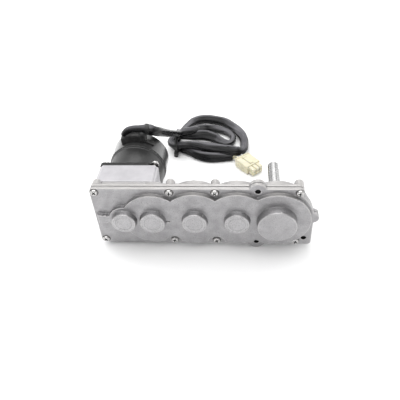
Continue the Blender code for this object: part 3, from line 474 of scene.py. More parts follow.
def cast_mesh(node, voxel, rounds, blocks=()):
    """The CAD node's own shape, and any added (low, high) blocks, with a casting's softened edges."""
    bm = bmesh.new()
    bm.from_mesh(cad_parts[node].data)
    for low, high in blocks:
        add_box(bm, (Vector(low) + Vector(high)) / 2, (X_AXIS, Y_AXIS, Z_AXIS), Vector(high) - Vector(low))
    return moulded(as_mesh(bm, node), voxel, rounds)


def bridge(bm, rings, loop=False):
    """Faces between rings; a loop joins the last ring to the first, and otherwise both are capped."""
    for first, second in zip(rings, rings[1:] + rings[:1] if loop else rings[1:]):
        count = len(first)
        for step in range(count):
            following = (step + 1) % count
            bm.faces.new((first[step], first[following], second[following], second[step]))
    if not loop:
        bm.faces.new(rings[0])
        bm.faces.new(rings[-1])


def add_revolved(bm, centre, profile, segments, closed=False):
    """Turn (radius, y) points about the line through centre along +Y; all in millimetres."""
    rings = []
    for radius, y in profile:
        if radius == 0:
            rings.append([bm.verts.new(station(centre[0], y, centre[1]))])
            continue
        ring = []
        for angle in turns(segments):
            place = station(centre[0] + radius * math.cos(angle), y, centre[1] + radius * math.sin(angle))
            ring.append(bm.verts.new(place))
        rings.append(ring)
    pairs = list(zip(rings, rings[1:]))
    if closed:
        pairs.append((rings[-1], rings[0]))
    for first, second in pairs:
        if len(first) == 1 and len(second) == 1:
            continue
        for step in range(segments):
            following = (step + 1) % segments
            corners = [first[step % len(first)], first[following % len(first)],
                       second[following % len(second)], second[step % len(second)]]
            face = []
            for corner in corners:
                if corner not in face:
                    face.append(corner)
            bm.faces.new(face)


def fillet(start, corner, end, radius, steps=5):
    """Points that round off one corner of a profile."""
    corner = Vector(corner)
    before = corner + (Vector(start) - corner).normalized() * radius
    after = corner + (Vector(end) - corner).normalized() * radius
    return [tuple(point) for point in interpolate_bezier(
        before.to_3d(), corner.to_3d(), corner.to_3d(), after.to_3d(), steps)]


def softened(profile, radii):
    """A profile with each inner corner rounded by the radius given for it, 0 for none."""
    points = [profile[0]]
    for before, corner, after, radius in zip(profile, profile[1:], profile[2:], radii):
        if radius:
            points += [(x, y) for x, y, _ in fillet(before, corner, after, radius)]
        else:
            points.append(corner)
    return points + [profile[-1]]


BOX_FACES = ((0, 3, 2, 1), (4, 5, 6, 7), (0, 1, 5, 4), (1, 2, 6, 5), (2, 3, 7, 6), (3, 0, 4, 7))


def add_box(bm, centre, axes, size):
    """Box with its three directions given as unit vectors; centre and size in millimetres."""
    corners = []
    for w in (-0.5, 0.5):
        for u, v in ((-0.5, -0.5), (0.5, -0.5), (0.5, 0.5), (-0.5, 0.5)):
            place = Vector(centre) + axes[0] * size[0] * u + axes[1] * size[1] * v + axes[2] * size[2] * w
            corners.append(bm.verts.new(station(*place)))
    for face in BOX_FACES:
        bm.faces.new([corners[index] for index in face])


# ------------------------------------------------------------------ camera, floor and light

# places and sizes in this section are in world metres
CAMERA_PLACE = Vector((0.03624, -0.37009, 0.36405))
CAMERA_AZIMUTH = math.radians(-7.004)
CAMERA_ELEVATION = math.radians(42.338)
CAMERA_ROLL = math.radians(-4.366)
CAMERA_LENS = 42.97
CAMERA_SENSOR = 36.0
CAMERA_CLIP = (0.01, 50.0)
FLOOR_RADIUS = 12.0
BACK_GLOW = (-0.75, 0.35, 0.10, 0.68)       # the sky's strength grows from front to back between these y
HORIZON_GLOW = (0.07, 0.16, 1.0, 0.0)       # and it is full below the first of these z
SKY_ENERGY = 2.5
SKY_ANGLE = math.radians(82)
SKY_DIRECTION = Vector((0.08, 0.2, -1.0))
# name, place, the point it looks at, width and height, and watts
SOFTBOXES = (
    ("left_softbox", (-0.9, 0.55, 0.55), (-0.06, 0.04, 0.05), (0.5, 0.7), 3.0),
    ("rear_softbox", (0.0, 1.15, 1.15), (0.0, 0.06, 0.05), (1.1, 0.4), 4.5),
    ("right_softbox", (0.8, 0.6, 0.45), (-0.04, 0.05, 0.04), (0.5, 0.5), 1.7),
)


def make_camera():
    """The photo's camera, from its place, two directions, roll and lens."""
    forward = Vector((math.sin(CAMERA_AZIMUTH) * math.cos(CAMERA_ELEVATION),
                      math.cos(CAMERA_AZIMUTH) * math.cos(CAMERA_ELEVATION), -math.sin(CAMERA_ELEVATION)))
    level = Vector((math.cos(CAMERA_AZIMUTH), -math.sin(CAMERA_AZIMUTH), 0.0))
    above = level.cross(forward)
    right = level * math.cos(CAMERA_ROLL) + above * math.sin(CAMERA_ROLL)
    up = above * math.cos(CAMERA_ROLL) - level * math.sin(CAMERA_ROLL)
    data = bpy.data.cameras.new("camera")
    data.lens = CAMERA_LENS
    data.sensor_width = CAMERA_SENSOR
    data.clip_start, data.clip_end = CAMERA_CLIP
    camera = placed("camera", data)
    turn = Matrix((right, up, -forward)).transposed().to_4x4()
    camera.matrix_world = Matrix.Translation(CAMERA_PLACE) @ turn
    bpy.context.scene.camera = camera


def make_floor():
    """Plain pale disc at z = 0."""
    bm = bmesh.new()
    bmesh.ops.create_circle(bm, cap_ends=True, segments=96, radius=FLOOR_RADIUS)
    floor = placed("floor", as_mesh(bm, "floor"))
    floor.data.materials.append(FINISH["floor"])


def add_softbox(name, place, target, size, watts):
    """Rectangular light at a place, looking at a target."""
    data = bpy.data.lights.new(name, "AREA")
    data.shape = "RECTANGLE"
    data.size, data.size_y = size
    data.energy = watts
    light = placed(name, data)
    light.location = place
    light.rotation_euler = (Vector(target) - Vector(place)).to_track_quat("-Z", "Y").to_euler()


def make_light():
    """White world that is brighter behind the object and at the horizon, a soft sun and three softboxes."""
    world = bpy.data.worlds.new("studio")
    world.use_nodes = True
    tree = world.node_tree
    direction = add(tree, "ShaderNodeSeparateXYZ")
    tree.links.new(add(tree, "ShaderNodeTexCoord").outputs["Generated"], direction.inputs[0])
    brighter = add(tree, "ShaderNodeMath", operation="MAXIMUM")
    back = to_range(tree, direction.outputs["Y"], *BACK_GLOW)
    horizon = to_range(tree, direction.outputs["Z"], *HORIZON_GLOW)
    tree.links.new(back, brighter.inputs[0])
    tree.links.new(horizon, brighter.inputs[1])
    tree.links.new(brighter.outputs[0], tree.nodes["Background"].inputs["Strength"])
    tree.nodes["Background"].inputs["Color"].default_value = (1.0, 1.0, 1.0, 1.0)
    bpy.context.scene.world = world
    sky = bpy.data.lights.new("soft_sky", "SUN")
    sky.energy = SKY_ENERGY
    sky.angle = SKY_ANGLE
    placed("soft_sky", sky).rotation_euler = SKY_DIRECTION.to_track_quat("-Z", "Y").to_euler()
    for softbox in SOFTBOXES:
        add_softbox(*softbox)
    view = bpy.context.scene.view_settings
    view.view_transform = "Standard"
    view.look = "None"


make_camera()
make_floor()
make_light()


# ------------------------------------------------------------------ cable

# x, y, z of the route, the sleeve's half width and half thickness, and how far its flat side is tilted
# towards the front, in degrees from level
CABLE_ROUTE = [
    (18.5, 84.0, 36.0, 3.3, 3.2, 0), (18.5, 84.0, 38.6, 3.3, 3.2, 0),
    (20.0, 84.2, 41.0, 3.3, 3.1, 0),
    (23.0, 84.6, 43.6, 3.3, 3.0, 10), (28.0, 85.0, 45.1, 3.3, 2.9, 20),
    (34.5, 85.5, 45.1, 3.5, 3.0, 30),
    (41.0, 86.4, 44.0, 4.4, 4.0, 28), (47.5, 88.0, 41.6, 6.0, 5.3, 5),
    (51.8, 94.0, 35.8, 5.9, 5.2, -20),
    (54.5, 106.0, 26.1, 5.6, 4.8, -30), (57.0, 122.0, 14.1, 5.2, 4.4, -32),
    (59.0, 137.0, 3.6, 5.0, 4.0, -32),
    (60.5, 151.0, -6.4, 4.9, 3.8, -30), (61.5, 165.0, -16.4, 4.8, 3.6, -24),
]
REAR_RUN = [
    (64.0, 174.5, -21.4, 4.8, 3.5, -10), (69.0, 179.5, -22.9, 4.8, 3.4, 10),
    (75.0, 183.0, -24.4, 4.9, 3.3, 20),
    (81.0, 189.0, -26.9, 5.0, 3.3, 30), (87.0, 198.0, -31.4, 5.0, 3.3, 38),
    (99.5, 205.0, -35.9, 5.0, 3.3, 40),
    (113.0, 202.5, -36.4, 4.7, 3.4, 34), (124.0, 196.0, -36.6, 4.2, 3.6, 20),
    (130.2, 186.5, -37.0, 3.7, 3.8, 0),
    (130.2, 178.5, -37.2, 3.7, 3.8, 0), (126.5, 172.8, -37.0, 4.0, 3.6, 10),
]
TOP_RUN = [
    (120.5, 172.0, -36.0, 4.8, 3.4, 24), (113.5, 175.6, -34.9, 5.8, 3.2, 38),
    (107.5, 179.8, -33.9, 6.6, 3.0, 46),
    (94.5, 183.6, -32.2, 6.9, 2.9, 48), (81.5, 183.4, -31.8, 6.5, 3.0, 44),
    (68.5, 181.6, -30.9, 5.4, 3.2, 34),
    (60.0, 179.5, -29.9, 4.6, 3.4, 20), (54.0, 171.5, -28.9, 4.3, 3.5, 0),
    (53.0, 162.5, -28.4, 4.3, 3.5, 0),
]
FRONT_RUN = [
    (58.5, 157.5, -28.4, 4.2, 3.4, 20), (67.5, 158.0, -28.6, 4.3, 3.3, 36),
    (77.5, 158.6, -28.8, 4.9, 3.2, 42),
    (90.0, 155.6, -29.0, 5.7, 3.1, 46), (109.0, 150.8, -29.2, 6.2, 3.1, 48),
    (125.5, 148.0, -29.4, 6.2, 3.0, 48),
    (137.0, 147.6, -30.6, 5.9, 3.0, 44), (143.5, 155.0, -33.9, 5.4, 3.2, 15),
    (145.0, 170.0, -36.2, 5.2, 3.3, 0),
    (144.0, 182.0, -36.4, 5.4, 3.3, 0),
]
BACK_LOOP = [
    (139.5, 194.5, -36.4, 5.8, 3.2, 25), (130.0, 208.5, -36.4, 6.0, 3.2, 44),
    (117.0, 221.0, -36.4, 6.1, 3.2, 48),
    (102.5, 226.5, -36.4, 6.1, 3.2, 48), (88.5, 228.0, -36.4, 5.8, 3.2, 46),
    (77.5, 223.5, -36.4, 5.2, 3.2, 38),
    (70.0, 213.0, -36.4, 4.8, 3.3, 20), (64.0, 199.5, -36.6, 4.6, 3.4, 0),
    (57.0, 187.0, -36.8, 4.4, 3.4, 0),
    (53.0, 174.5, -36.8, 4.3, 3.5, 0), (57.0, 166.0, -36.8, 4.4, 3.5, 8),
]
END_RUN = [
    (64.5, 162.0, -36.8, 4.8, 3.4, 25), (76.5, 156.0, -36.6, 5.2, 3.3, 38),
    (89.0, 147.0, -36.4, 5.7, 3.1, 48),
    (102.0, 142.4, -36.2, 6.0, 3.1, 48), (114.0, 142.4, -36.2, 5.9, 3.2, 46),
    (125.0, 143.6, -36.4, 5.1, 3.3, 40),
    (131.0, 144.0, -36.6, 4.0, 3.2, 30),
]
RING_STEP = 1.3
RING_POINTS = 28
SLEEVE_BOXINESS = 0.8           # 1 is an ellipse, and less is nearer a rounded box
SLEEVE_SHARP_ANGLE = math.radians(60)
# changes along and round the sleeve, and the share of its size that each adds at most
WRINKLE = (0.05, 1.6, 0.12)
CREASE = (0.03, 3.4, 0.14)
CREASE_OFFSET = 40.0
CALM_SHARE = 0.35               # of the wrinkles on the first, hanging stretch
CALM_END = 130.0
CALM_FADE = 60.0
FLOOR_CLEARANCE = 0.25


def row_place(row):
    """The first three values of a route row as a place."""
    return Vector(row[:3])


def route_samples(rows):
    """Smooth samples through the rows: place in millimetres, half width, half thickness and tilt."""
    places = [row_place(row) for row in rows]
    ends = [2 * places[0] - places[1]] + places + [2 * places[-1] - places[-2]]
    samples = []
    for index in range(len(rows) - 1):
        before, start, end, after = ends[index:index + 4]
        reach = (end - start).length / 3
        leave = start + (end - before).normalized() * reach
        arrive = end - (after - start).normalized() * reach
        count = max(2, round((end - start).length / RING_STEP))
        curve = interpolate_bezier(start, leave, arrive, end, count + 1)[:-1]
        for step, place in enumerate(curve):
            share = step / count
            share = share * share * (3 - 2 * share)
            sections = zip(rows[index][3:], rows[index + 1][3:])
            samples.append((place, *(first + (second - first) * share for first, second in sections)))
    samples.append((places[-1], *rows[-1][3:]))
    return samples


def sleeve_swell(along, angle):
    """How much wider the sleeve is at a place along and round it."""
    around = Vector((0.0, math.cos(angle), math.sin(angle)))
    along_axis = Vector((along, 0.0, 0.0))
    wrinkle = noise.noise(along_axis * WRINKLE[0] + around * WRINKLE[1])
    crease = noise.noise(along_axis * CREASE[0] + Vector((CREASE_OFFSET, 0.0, 0.0)) + around * CREASE[1])
    calm = min(max((along - CALM_END) / CALM_FADE, 0.0), 1.0)
    return 1.0 + (WRINKLE[2] * wrinkle + CREASE[2] * crease) * (CALM_SHARE + (1.0 - CALM_SHARE) * calm)


def boxy(value):
    """A sine or cosine pushed outwards, so that an ellipse turns towards a rounded box."""
    return math.copysign(abs(value) ** SLEEVE_BOXINESS, value)


def make_cable():
    """The sleeved cable as one skin, and the line through its middle in world metres."""
    rows = CABLE_ROUTE + REAR_RUN + TOP_RUN + FRONT_RUN + BACK_LOOP + END_RUN
    samples = route_samples(rows)
    bm = bmesh.new()
    layer = bm.verts.layers.float_vector.new("cord_place")
    rings = []
    along = 0.0
    places = [sample[0] for sample in samples]
    for index, (place, half_width, half_thickness, tilt) in enumerate(samples):
        tangent = heading_at(places, index)
        flat = Vector((0.0, -math.sin(math.radians(tilt)), math.cos(math.radians(tilt))))
        across = tangent.cross(flat).normalized()
        flat = across.cross(tangent).normalized()
        along += (place - places[max(index - 1, 0)]).length
        ring = []
        for angle in turns(RING_POINTS):
            wide = across * boxy(math.cos(angle)) * half_width
            thick = flat * boxy(math.sin(angle)) * half_thickness
            point = place + (wide + thick) * sleeve_swell(along, angle)
            point.z = max(point.z, FLOOR + FLOOR_CLEARANCE)
            vertex = bm.verts.new(station(*point))
            vertex[layer] = (along * 0.01, math.cos(angle), math.sin(angle))
            ring.append(vertex)
        rings.append(ring)
    bridge(bm, rings)
    mesh = as_mesh(bm, "motor_cable_sleeve", SLEEVE_SHARP_ANGLE)
    cable = put("motor_cable_sleeve", mesh, "sleeve",
                replaces=("motor_cable", "cable_hank"))
    return cable, [station(*place) for place in places]


def tube_mesh(bm, points, radius, segments=14):
    """Round tube along points in millimetres, closed at both ends."""
    rings = []
    for index, place in enumerate(points):
        tangent = heading_at(points, index)
        across = tangent.cross(Z_AXIS).normalized()
        flat = across.cross(tangent).normalized()
        ring = []
        for angle in turns(segments):
            point = place + (across * math.cos(angle) + flat * math.sin(angle)) * radius
            ring.append(bm.verts.new(station(*point)))
        rings.append(ring)
    bridge(bm, rings)


CONNECTOR_START = Vector((142.0, 137.5, FLOOR + 6.3))
CONNECTOR_HEADING = math.radians(-50.0)
CONNECTOR_SIZE = (30.0, 20.0, 12.0)
CONNECTOR_ALONG = Vector((math.cos(CONNECTOR_HEADING), math.sin(CONNECTOR_HEADING), 0.0))
CONNECTOR_ACROSS = Vector((-CONNECTOR_ALONG.y, CONNECTOR_ALONG.x, 0.0))
SHELL_SHARE = 0.72              # of the plug's length
CAVITY_PITCH = 5.2
CAVITY_RISE = 2.35              # of each row of cavities from the plug's middle
CAVITY_MOUTH = (9.0, 3.8, 3.3)
TOWER_SIZE = (8.4, 4.3, 3.9)
RIB_SIZE = (13.0, 1.0, 2.0)
LEAD_RADIUS = 0.85


def cavity(along, column, row):
    """Middle of one of the plug's six cavities, at a distance along the plug."""
    rise = Z_AXIS * row * CAVITY_RISE
    return CONNECTOR_START + CONNECTOR_ACROSS * column * CAVITY_PITCH + rise + CONNECTOR_ALONG * along


def make_connector():
    """Three-by-two nylon plug: shell, cavity mouths, ribs, latch and a collar at the leads' side."""
    axes = (CONNECTOR_ALONG, CONNECTOR_ACROSS, Z_AXIS)
    length, width, height = CONNECTOR_SIZE
    columns = (-1, 0, 1)
    rows = (-1, 1)
    bm = bmesh.new()
    middle = CONNECTOR_START + CONNECTOR_ALONG * (length * SHELL_SHARE / 2)
    add_box(bm, middle, axes, (length * SHELL_SHARE, width, height - 1.4))
    shell = as_mesh(bm, "shell")
    cutter = bmesh.new()
    for row in rows:
        for column in columns:
            add_box(cutter, cavity(1.0, column, row), axes, CAVITY_MOUTH)
    shell = cut_out(shell, cutter)
    bm = bmesh.new()
    bm.from_mesh(shell)
    for column in columns:
        for row in rows:
            add_box(bm, cavity(length * SHELL_SHARE + 3.9, column, row), axes, TOWER_SIZE)
    for side in (-1, 1):
        rib = CONNECTOR_START + CONNECTOR_ALONG * 9.5 + CONNECTOR_ACROSS * side * (width / 2 + 0.3)
        add_box(bm, rib, axes, RIB_SIZE)
    # the latch, its release and the collar: distance along, rise from the top face, and size
    for along, rise, size in ((11.5, -0.1, (15.0, 5.0, 1.1)), (5.0, 0.1, (2.4, 6.4, 1.5)),
                              (1.1, -0.5, (2.0, width - 1.0, 0.8))):
        place = CONNECTOR_START + CONNECTOR_ALONG * along + Z_AXIS * (height / 2 + rise)
        add_box(bm, place, axes, size)
    mesh = bevelled(as_mesh(bm, "connector"), 0.00028)
    reshade(mesh)
    return put("nylon_connector", mesh, "nylon", replaces=("connector_housing",))


def make_leads():
    """Four thin leads that fan out of the sleeve's end into the plug's rear."""
    end = row_place(END_RUN[-1])
    heading = (end - row_place(END_RUN[-2])).normalized()
    leads = []
    for index, (column, row) in enumerate(((-1, -1), (1, -1), (-1, 1), (1, 1))):
        start = end - heading * 3.0 + CONNECTOR_ACROSS * column * 1.2 + Z_AXIS * row * 1.2
        stop = cavity(3.0, column * 0.8, row)
        leave = start + heading * (9.0 + 2.0 * index)
        arrive = stop - CONNECTOR_ALONG * (7.0 + 1.5 * index)
        points = interpolate_bezier(start, leave, arrive, stop, 20)
        for point in points:
            point.z = max(point.z, FLOOR + LEAD_RADIUS + FLOOR_CLEARANCE)
        bm = bmesh.new()
        tube_mesh(bm, points, LEAD_RADIUS)
        name = f"plug_lead_{index + 1}"
        finish = "lead" if index % 2 else "nylon"
        leads.append(put(name, as_mesh(bm, name), finish))
    return leads


def band_points(centre, first, second, half_first, half_second, corner, steps=6):
    """Rounded-rectangle loop about centre in the plane of two unit directions."""
    loop = []
    for quarter, (u, v) in enumerate(((1, 1), (-1, 1), (-1, -1), (1, -1))):
        middle = centre + first * u * (half_first - corner) + second * v * (half_second - corner)
        for step in range(steps + 1):
            angle = math.pi / 2 * (quarter + step / steps)
            loop.append(middle + (first * math.cos(angle) + second * math.sin(angle)) * corner)
    return loop


TIE_WIDTH = 3.6
TIE_THICKNESS = 1.0
TIE_HEAD = (5.2, 5.4, 4.0)
TIE_LIP = (3.0, 3.6, 1.6)
TIE_TAIL = (3.4, 4.6, 1.2)


def add_band(bm, loop, axis, centre):
    """Flat strap, as wide along axis as a tie is, following a closed loop about centre."""
    count = len(loop)
    rings = []
    for index, point in enumerate(loop):
        tangent = (loop[(index + 1) % count] - loop[index - 1]).normalized()
        outward = tangent.cross(axis).normalized()
        if outward.dot(point - centre) < 0:
            outward = -outward
        ring = []
        for side, depth in ((-1, 0), (1, 0), (1, 1), (-1, 1)):
            place = point + axis * side * TIE_WIDTH / 2 + outward * depth * TIE_THICKNESS
            ring.append(bm.verts.new(station(*place)))
        rings.append(ring)
    bridge(bm, rings, loop=True)


def make_tie(name, node, loop, centre, axis, head, head_axes, tail):
    """Cable tie: strap, ratchet head and the cut tail that stands out of it."""
    bm = bmesh.new()
    add_band(bm, loop, axis, centre)
    add_box(bm, head, head_axes, TIE_HEAD)
    add_box(bm, head + head_axes[2] * 2.4, head_axes, TIE_LIP)
    add_box(bm, head + tail * 4.2, head_axes, TIE_TAIL)
    mesh = bevelled(as_mesh(bm, name), 0.00022)
    reshade(mesh)
    return put(name, mesh, "tie", replaces=(node,))


def make_ties():
    """The tie round the hank and the tie that holds the cable at the boot."""
    middle = Vector((60.0, 170.5, FLOOR + 8.9))
    loop = band_points(middle, Y_AXIS, Z_AXIS, 17.6, 8.3, 5.0)
    head = Vector((60.0, 151.4, FLOOR + 3.6))
    hank = make_tie("hank_tie", "cable_tie_hank", loop, middle, X_AXIS, head,
                    (X_AXIS, Z_AXIS, -Y_AXIS), Vector((0, -0.3, -0.3)))
    before, place, after = (row_place(row) for row in CABLE_ROUTE[5:8])
    direction = (after - before).normalized()
    across = direction.cross(Z_AXIS).normalized()
    above = across.cross(direction).normalized()
    spot = place + direction * 2.0
    loop = band_points(spot, across, above, 4.9, 4.2, 3.4)
    head = spot - across * 5.4 - above * 1.6
    sleeve = make_tie("sleeve_tie", "cable_tie_boot", loop, spot, direction, head,
                      (direction, above, -across), -above)
    return hank, sleeve


# start and end of each moulded roll on the boot, with its radius
BOOT_ROLLS = [
    ((19.5, 84.6, 36.8), (37.5, 84.6, 36.8), 4.0), ((22.0, 86.0, 40.2), (42.0, 86.0, 40.4), 2.4),
    ((17.6, 84.5, 33.0), (17.6, 87.0, 33.0), 3.6), ((38.2, 84.4, 34.0), (38.2, 84.6, 38.8), 4.4),
]
BOOT_VOXEL = 0.0005             # metres
BOOT_ROUNDS = 5
BOOT_SKIRT_ANGLES = (52.0, 116.0)
BOOT_SKIRT_RADII = (30.9, 32.6)
BOOT_SKIRT_Y = (82.6, 89.4)
BOOT_SKIRT_STEPS = 26
BOOT_LUMPS = ((0.35, 0.35), (1.1, 0.14))        # changes per millimetre, and height
BOOT_LUMP_DIRECTION = Vector((0.3, 0.2, 1.0)).normalized()


def add_skirt(bm):
    """Thin apron of the boot, bent round the can."""
    low, high = (math.radians(angle) for angle in BOOT_SKIRT_ANGLES)
    inner, outer = BOOT_SKIRT_RADII
    front, back = BOOT_SKIRT_Y
    rings = []
    for index in range(BOOT_SKIRT_STEPS + 1):
        angle = low + (high - low) * index / BOOT_SKIRT_STEPS
        ring = []
        for radius, y in ((inner, front), (outer, front), (outer, back), (inner, back)):
            place = station(SHAFT_X[0] + radius * math.cos(angle), y, radius * math.sin(angle))
            ring.append(bm.verts.new(place))
        rings.append(ring)
    bridge(bm, rings)


def make_boot():
    """Rubber boot on the can: a block with rolls moulded over the cable, softened like a rubber part."""
    bm = bmesh.new()
    bm.from_mesh(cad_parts["cable_boot"].data)
    add_skirt(bm)
    for start, end, radius in BOOT_ROLLS:
        start, end = Vector(start), Vector(end)
        points = interpolate_bezier(start, start.lerp(end, 0.33), start.lerp(end, 0.67), end, 8)
        tube_mesh(bm, points, radius, 28)
        for tip in (points[0], points[-1]):
            matrix = Matrix.Translation(station(*tip))
            bmesh.ops.create_uvsphere(bm, u_segments=24, v_segments=16, radius=radius * MM, matrix=matrix)
    mesh = moulded(as_mesh(bm, "boot_source"), BOOT_VOXEL, BOOT_ROUNDS)
    for vertex in mesh.vertices:
        place = vertex.co * PER_METRE
        lump = sum(noise.noise(place * scale) * height for scale, height in BOOT_LUMPS)
        vertex.co += BOOT_LUMP_DIRECTION * lump * MM
    put("rubber_boot", mesh, "rubber", replaces=("cable_boot",))


cable, cable_path = make_cable()
connector = make_connector()
leads = make_leads()
hank_tie, boot_tie = make_ties()
make_boot()


# ------------------------------------------------------------------ castings and motor case

# piece, the CAD node it is made from, voxel in metres, rounds of softening, finish and slot
CASTINGS = [
    ("cover_casting", "gearbox_cover", 0.0004, 2, "cast", "cast_aluminium"),
    ("housing_casting", "gearbox_housing", 0.0005, 3, "cast", "cast_aluminium"),
    ("adapter_block", "motor_adapter", 0.0006, 3, "adapter", "adapter_aluminium"),
    ("mount_plate_pressing", "motor_mount_plate", 0.0005, 3, "plate", "black_steel"),
]

# raised strips on the housing that the adapter stands on: lowest and highest corner of each
MOTOR_PAD = [((0.2, 8.0, 26.2), (59.0, 17.65, 29.8)), ((0.2, 8.0, -29.8), (59.0, 17.65, -26.2)),
             ((0.2, 8.0, -28.0), (3.4, 17.65, 28.0))]

# round walls of the two castings: x of the centre, radius, and the lowest and highest y of the wall
COVER_ROUNDS = [
    (29.6, 11.7, -9.8, -4.6), (57.6, 12.1, -9.7, -4.6), (98.1, 12.0, -9.5, -4.6), (138.6, 12.0, -9.5, -4.6),
    (176.1, 18.5, -12.6, -4.6), (29.6, 15.2, -3.9, -0.3), (57.6, 30.4, -3.9, -0.3), (98.1, 32.2, -3.9, -0.3),
    (138.6, 32.2, -3.9, -0.3), (176.1, 32.3, -3.9, -0.3),
]
HOUSING_ROUNDS = [
    (57.6, 30.4, 8.8, 17.3), (98.1, 32.2, 8.8, 17.3), (138.6, 32.2, 8.8, 17.3), (176.1, 32.3, 8.8, 17.3),
    (176.1, 17.3, 18.0, 29.6),
]
WALL_REACH = 0.9                # how far from its nominal radius a wall's points may lie
WALL_SPREAD = 0.4               # how far from the fitted cone
WALL_FACING = 0.85              # outward part of the normal
WALL_POINTS = 50                # fewer than this are left alone

HOLE_RADII = (3.0, 3.3)         # where the painted shade on a mounting hole's wall begins to fade, and where it ends
HOLE_DEPTHS = (0.2, 1.0)        # where it starts behind the front face, and where it is full
BOSS_FRONTS = (-9.2, -8.6)      # in front of the first the boss is rubbed, and behind the second it isn't
RUBBED = 0.42
RUBBED_OUTPUT = 0.15
OUTPUT_BOSS_X = 157.0           # from here on, the rubbed boss is the output's

FRONT_REGION = (2.0, 34.0)      # the front shape is changed before this y, and nearer the axes than this z
FACE_BACK = -0.5                # and its face is everything before this y
TONGUE_ENDS = (8.0, 14.0)       # x where the slim tongue is full, and where it has run out
TONGUE_SHARE = 0.52
TONGUE_HEIGHT = 10.0
TONGUE_REACH = 22.0             # above this height nothing moves
LOBE_NEAR = 5.0
SCALLOP_INNER = 4.4             # radii about a screw: what is inside the first stays, the second lies on the
SCALLOP_EDGE = 9.0              # scallop, and what is outside the third stays
SCALLOP_OUTER = 12.5
PLATEAU_END = (2.2, 3.6)        # x between which the raised part runs out
DISC_RADII = (8.0, 8.8)
DISC_DEPTH = 0.45
DISC_REACH = 0.8                # behind a boss's front
SMALL_BOSS_FRONTS = (-10.2, -10.1, -9.9, -9.9)
NICK_MIDDLE = (71.9, -2.4)
NICK_HALF_LENGTH = 1.1
NICK_RADII = (0.4, 1.2)
NICK_DEPTH = 2.0
NICK_FRONT = -6.0               # nothing in front of this y is sunk
COVER_LUMPS = ((160.0, 0.10), (60.0, 0.12))     # changes per metre, and height

ADAPTER_HALF_SIDE = 30.0
ADAPTER_CORNER_RADIUS = 4.4
PLATE_CLIP = 49.0               # sum of x and z, from the motor's axis, where the plate's corner is clipped


def true_up(mesh, rounds):
    """Make faceted round walls truly round: their points move onto the cone that fits each wall best."""
    count = len(mesh.vertices)
    places = np.empty(count * 3)
    normals = np.empty(count * 3)
    mesh.vertices.foreach_get("co", places)
    mesh.vertices.foreach_get("normal", normals)
    places = places.reshape(-1, 3) / MM + np.array(ORIGIN)
    normals = normals.reshape(-1, 3)
    for centre_x, radius, low, high in rounds:
        u, y, v = places[:, 0] - centre_x, places[:, 1], places[:, 2]
        reach = np.hypot(u, v)
        outward = (normals[:, 0] * u + normals[:, 2] * v) / np.maximum(reach, 0.001)
        wall = (abs(reach - radius) < WALL_REACH) & (outward > WALL_FACING) & (y > low) & (y < high)
        if wall.sum() < WALL_POINTS:
            continue
        slope, start = np.polyfit(y[wall], reach[wall], 1)
        wanted = start + slope * y
        wall &= abs(reach - wanted) < WALL_SPREAD
        scale = wanted[wall] / reach[wall]
        places[wall, 0] = centre_x + u[wall] * scale
        places[wall, 2] = v[wall] * scale
    mesh.vertices.foreach_set("co", ((places - np.array(ORIGIN)) * MM).ravel())
    mesh.update()


def mark_hole_shade_and_rubbing(mesh):
    """Mark, for the finish, the mounting holes' walls that take painted shade, and the bosses' rubbed
    fronts.
    """
    painted_hole_shade = mesh.attributes.new("painted_hole_shade", "FLOAT", "POINT")
    rubbed = mesh.attributes.new("rubbed", "FLOAT", "POINT")
    for index, vertex in enumerate(mesh.vertices):
        x, y, z = design_place(vertex)
        nearest = min(math.hypot(x - hole_x, z - hole_z) for hole_x, hole_z in MOUNT_HOLES)
        strength = RUBBED if x < OUTPUT_BOSS_X else RUBBED_OUTPUT
        # painted shade on the mounting holes' walls
        painted_hole_shade.data[index].value = ease(y, *HOLE_DEPTHS) * (1.0 - ease(nearest, *HOLE_RADII))
        rubbed.data[index].value = strength * (1.0 - ease(y, *BOSS_FRONTS))


def lobe_distance(x, z, u, v):
    """How far a ray from a screw goes before it meets a lobe of the raised part, within the scallop."""
    nearest = SCALLOP_EDGE
    for centre_x, radius in PLATEAU_LOBES:
        along = (x - centre_x) * u + z * v
        inside = along * along - (x - centre_x) ** 2 - z * z + radius * radius
        if along < 0.0 < inside:
            nearest = min(nearest, -along - math.sqrt(inside))
    return max(nearest, LOBE_NEAR)


def slim_tongue(x, z):
    """The z of a point of the cover's front, once the left tongue is slim."""
    reach = 1.0 - ease(x, *TONGUE_ENDS)
    tall = abs(z)
    if reach <= 0.0 or tall >= TONGUE_REACH:
        return z
    slim = tall * TONGUE_SHARE
    if tall >= TONGUE_HEIGHT:
        slim = TONGUE_HEIGHT * TONGUE_SHARE
        stretch = (TONGUE_REACH - slim) / (TONGUE_REACH - TONGUE_HEIGHT)
        slim += (tall - TONGUE_HEIGHT) * stretch
    return math.copysign(tall + (slim - tall) * reach, z)


def tight_scallop(x, z, screw_x):
    """Where a point of the cover's front goes when the notch beside an upper screw follows the lobes."""
    radius = math.hypot(x - screw_x, z - SCALLOP_SCREW_Z)
    if not SCALLOP_INNER < radius < SCALLOP_OUTER:
        return x, z
    u, v = (x - screw_x) / radius, (z - SCALLOP_SCREW_Z) / radius
    edge = lobe_distance(screw_x, SCALLOP_SCREW_Z, u, v)
    if radius < SCALLOP_EDGE:
        share = (radius - SCALLOP_INNER) / (SCALLOP_EDGE - SCALLOP_INNER)
        radius = SCALLOP_INNER + (edge - SCALLOP_INNER) * share
    else:
        share = (radius - SCALLOP_EDGE) / (SCALLOP_OUTER - SCALLOP_EDGE)
        radius = edge + (SCALLOP_OUTER - edge) * share
    return screw_x + u * radius, SCALLOP_SCREW_Z + v * radius


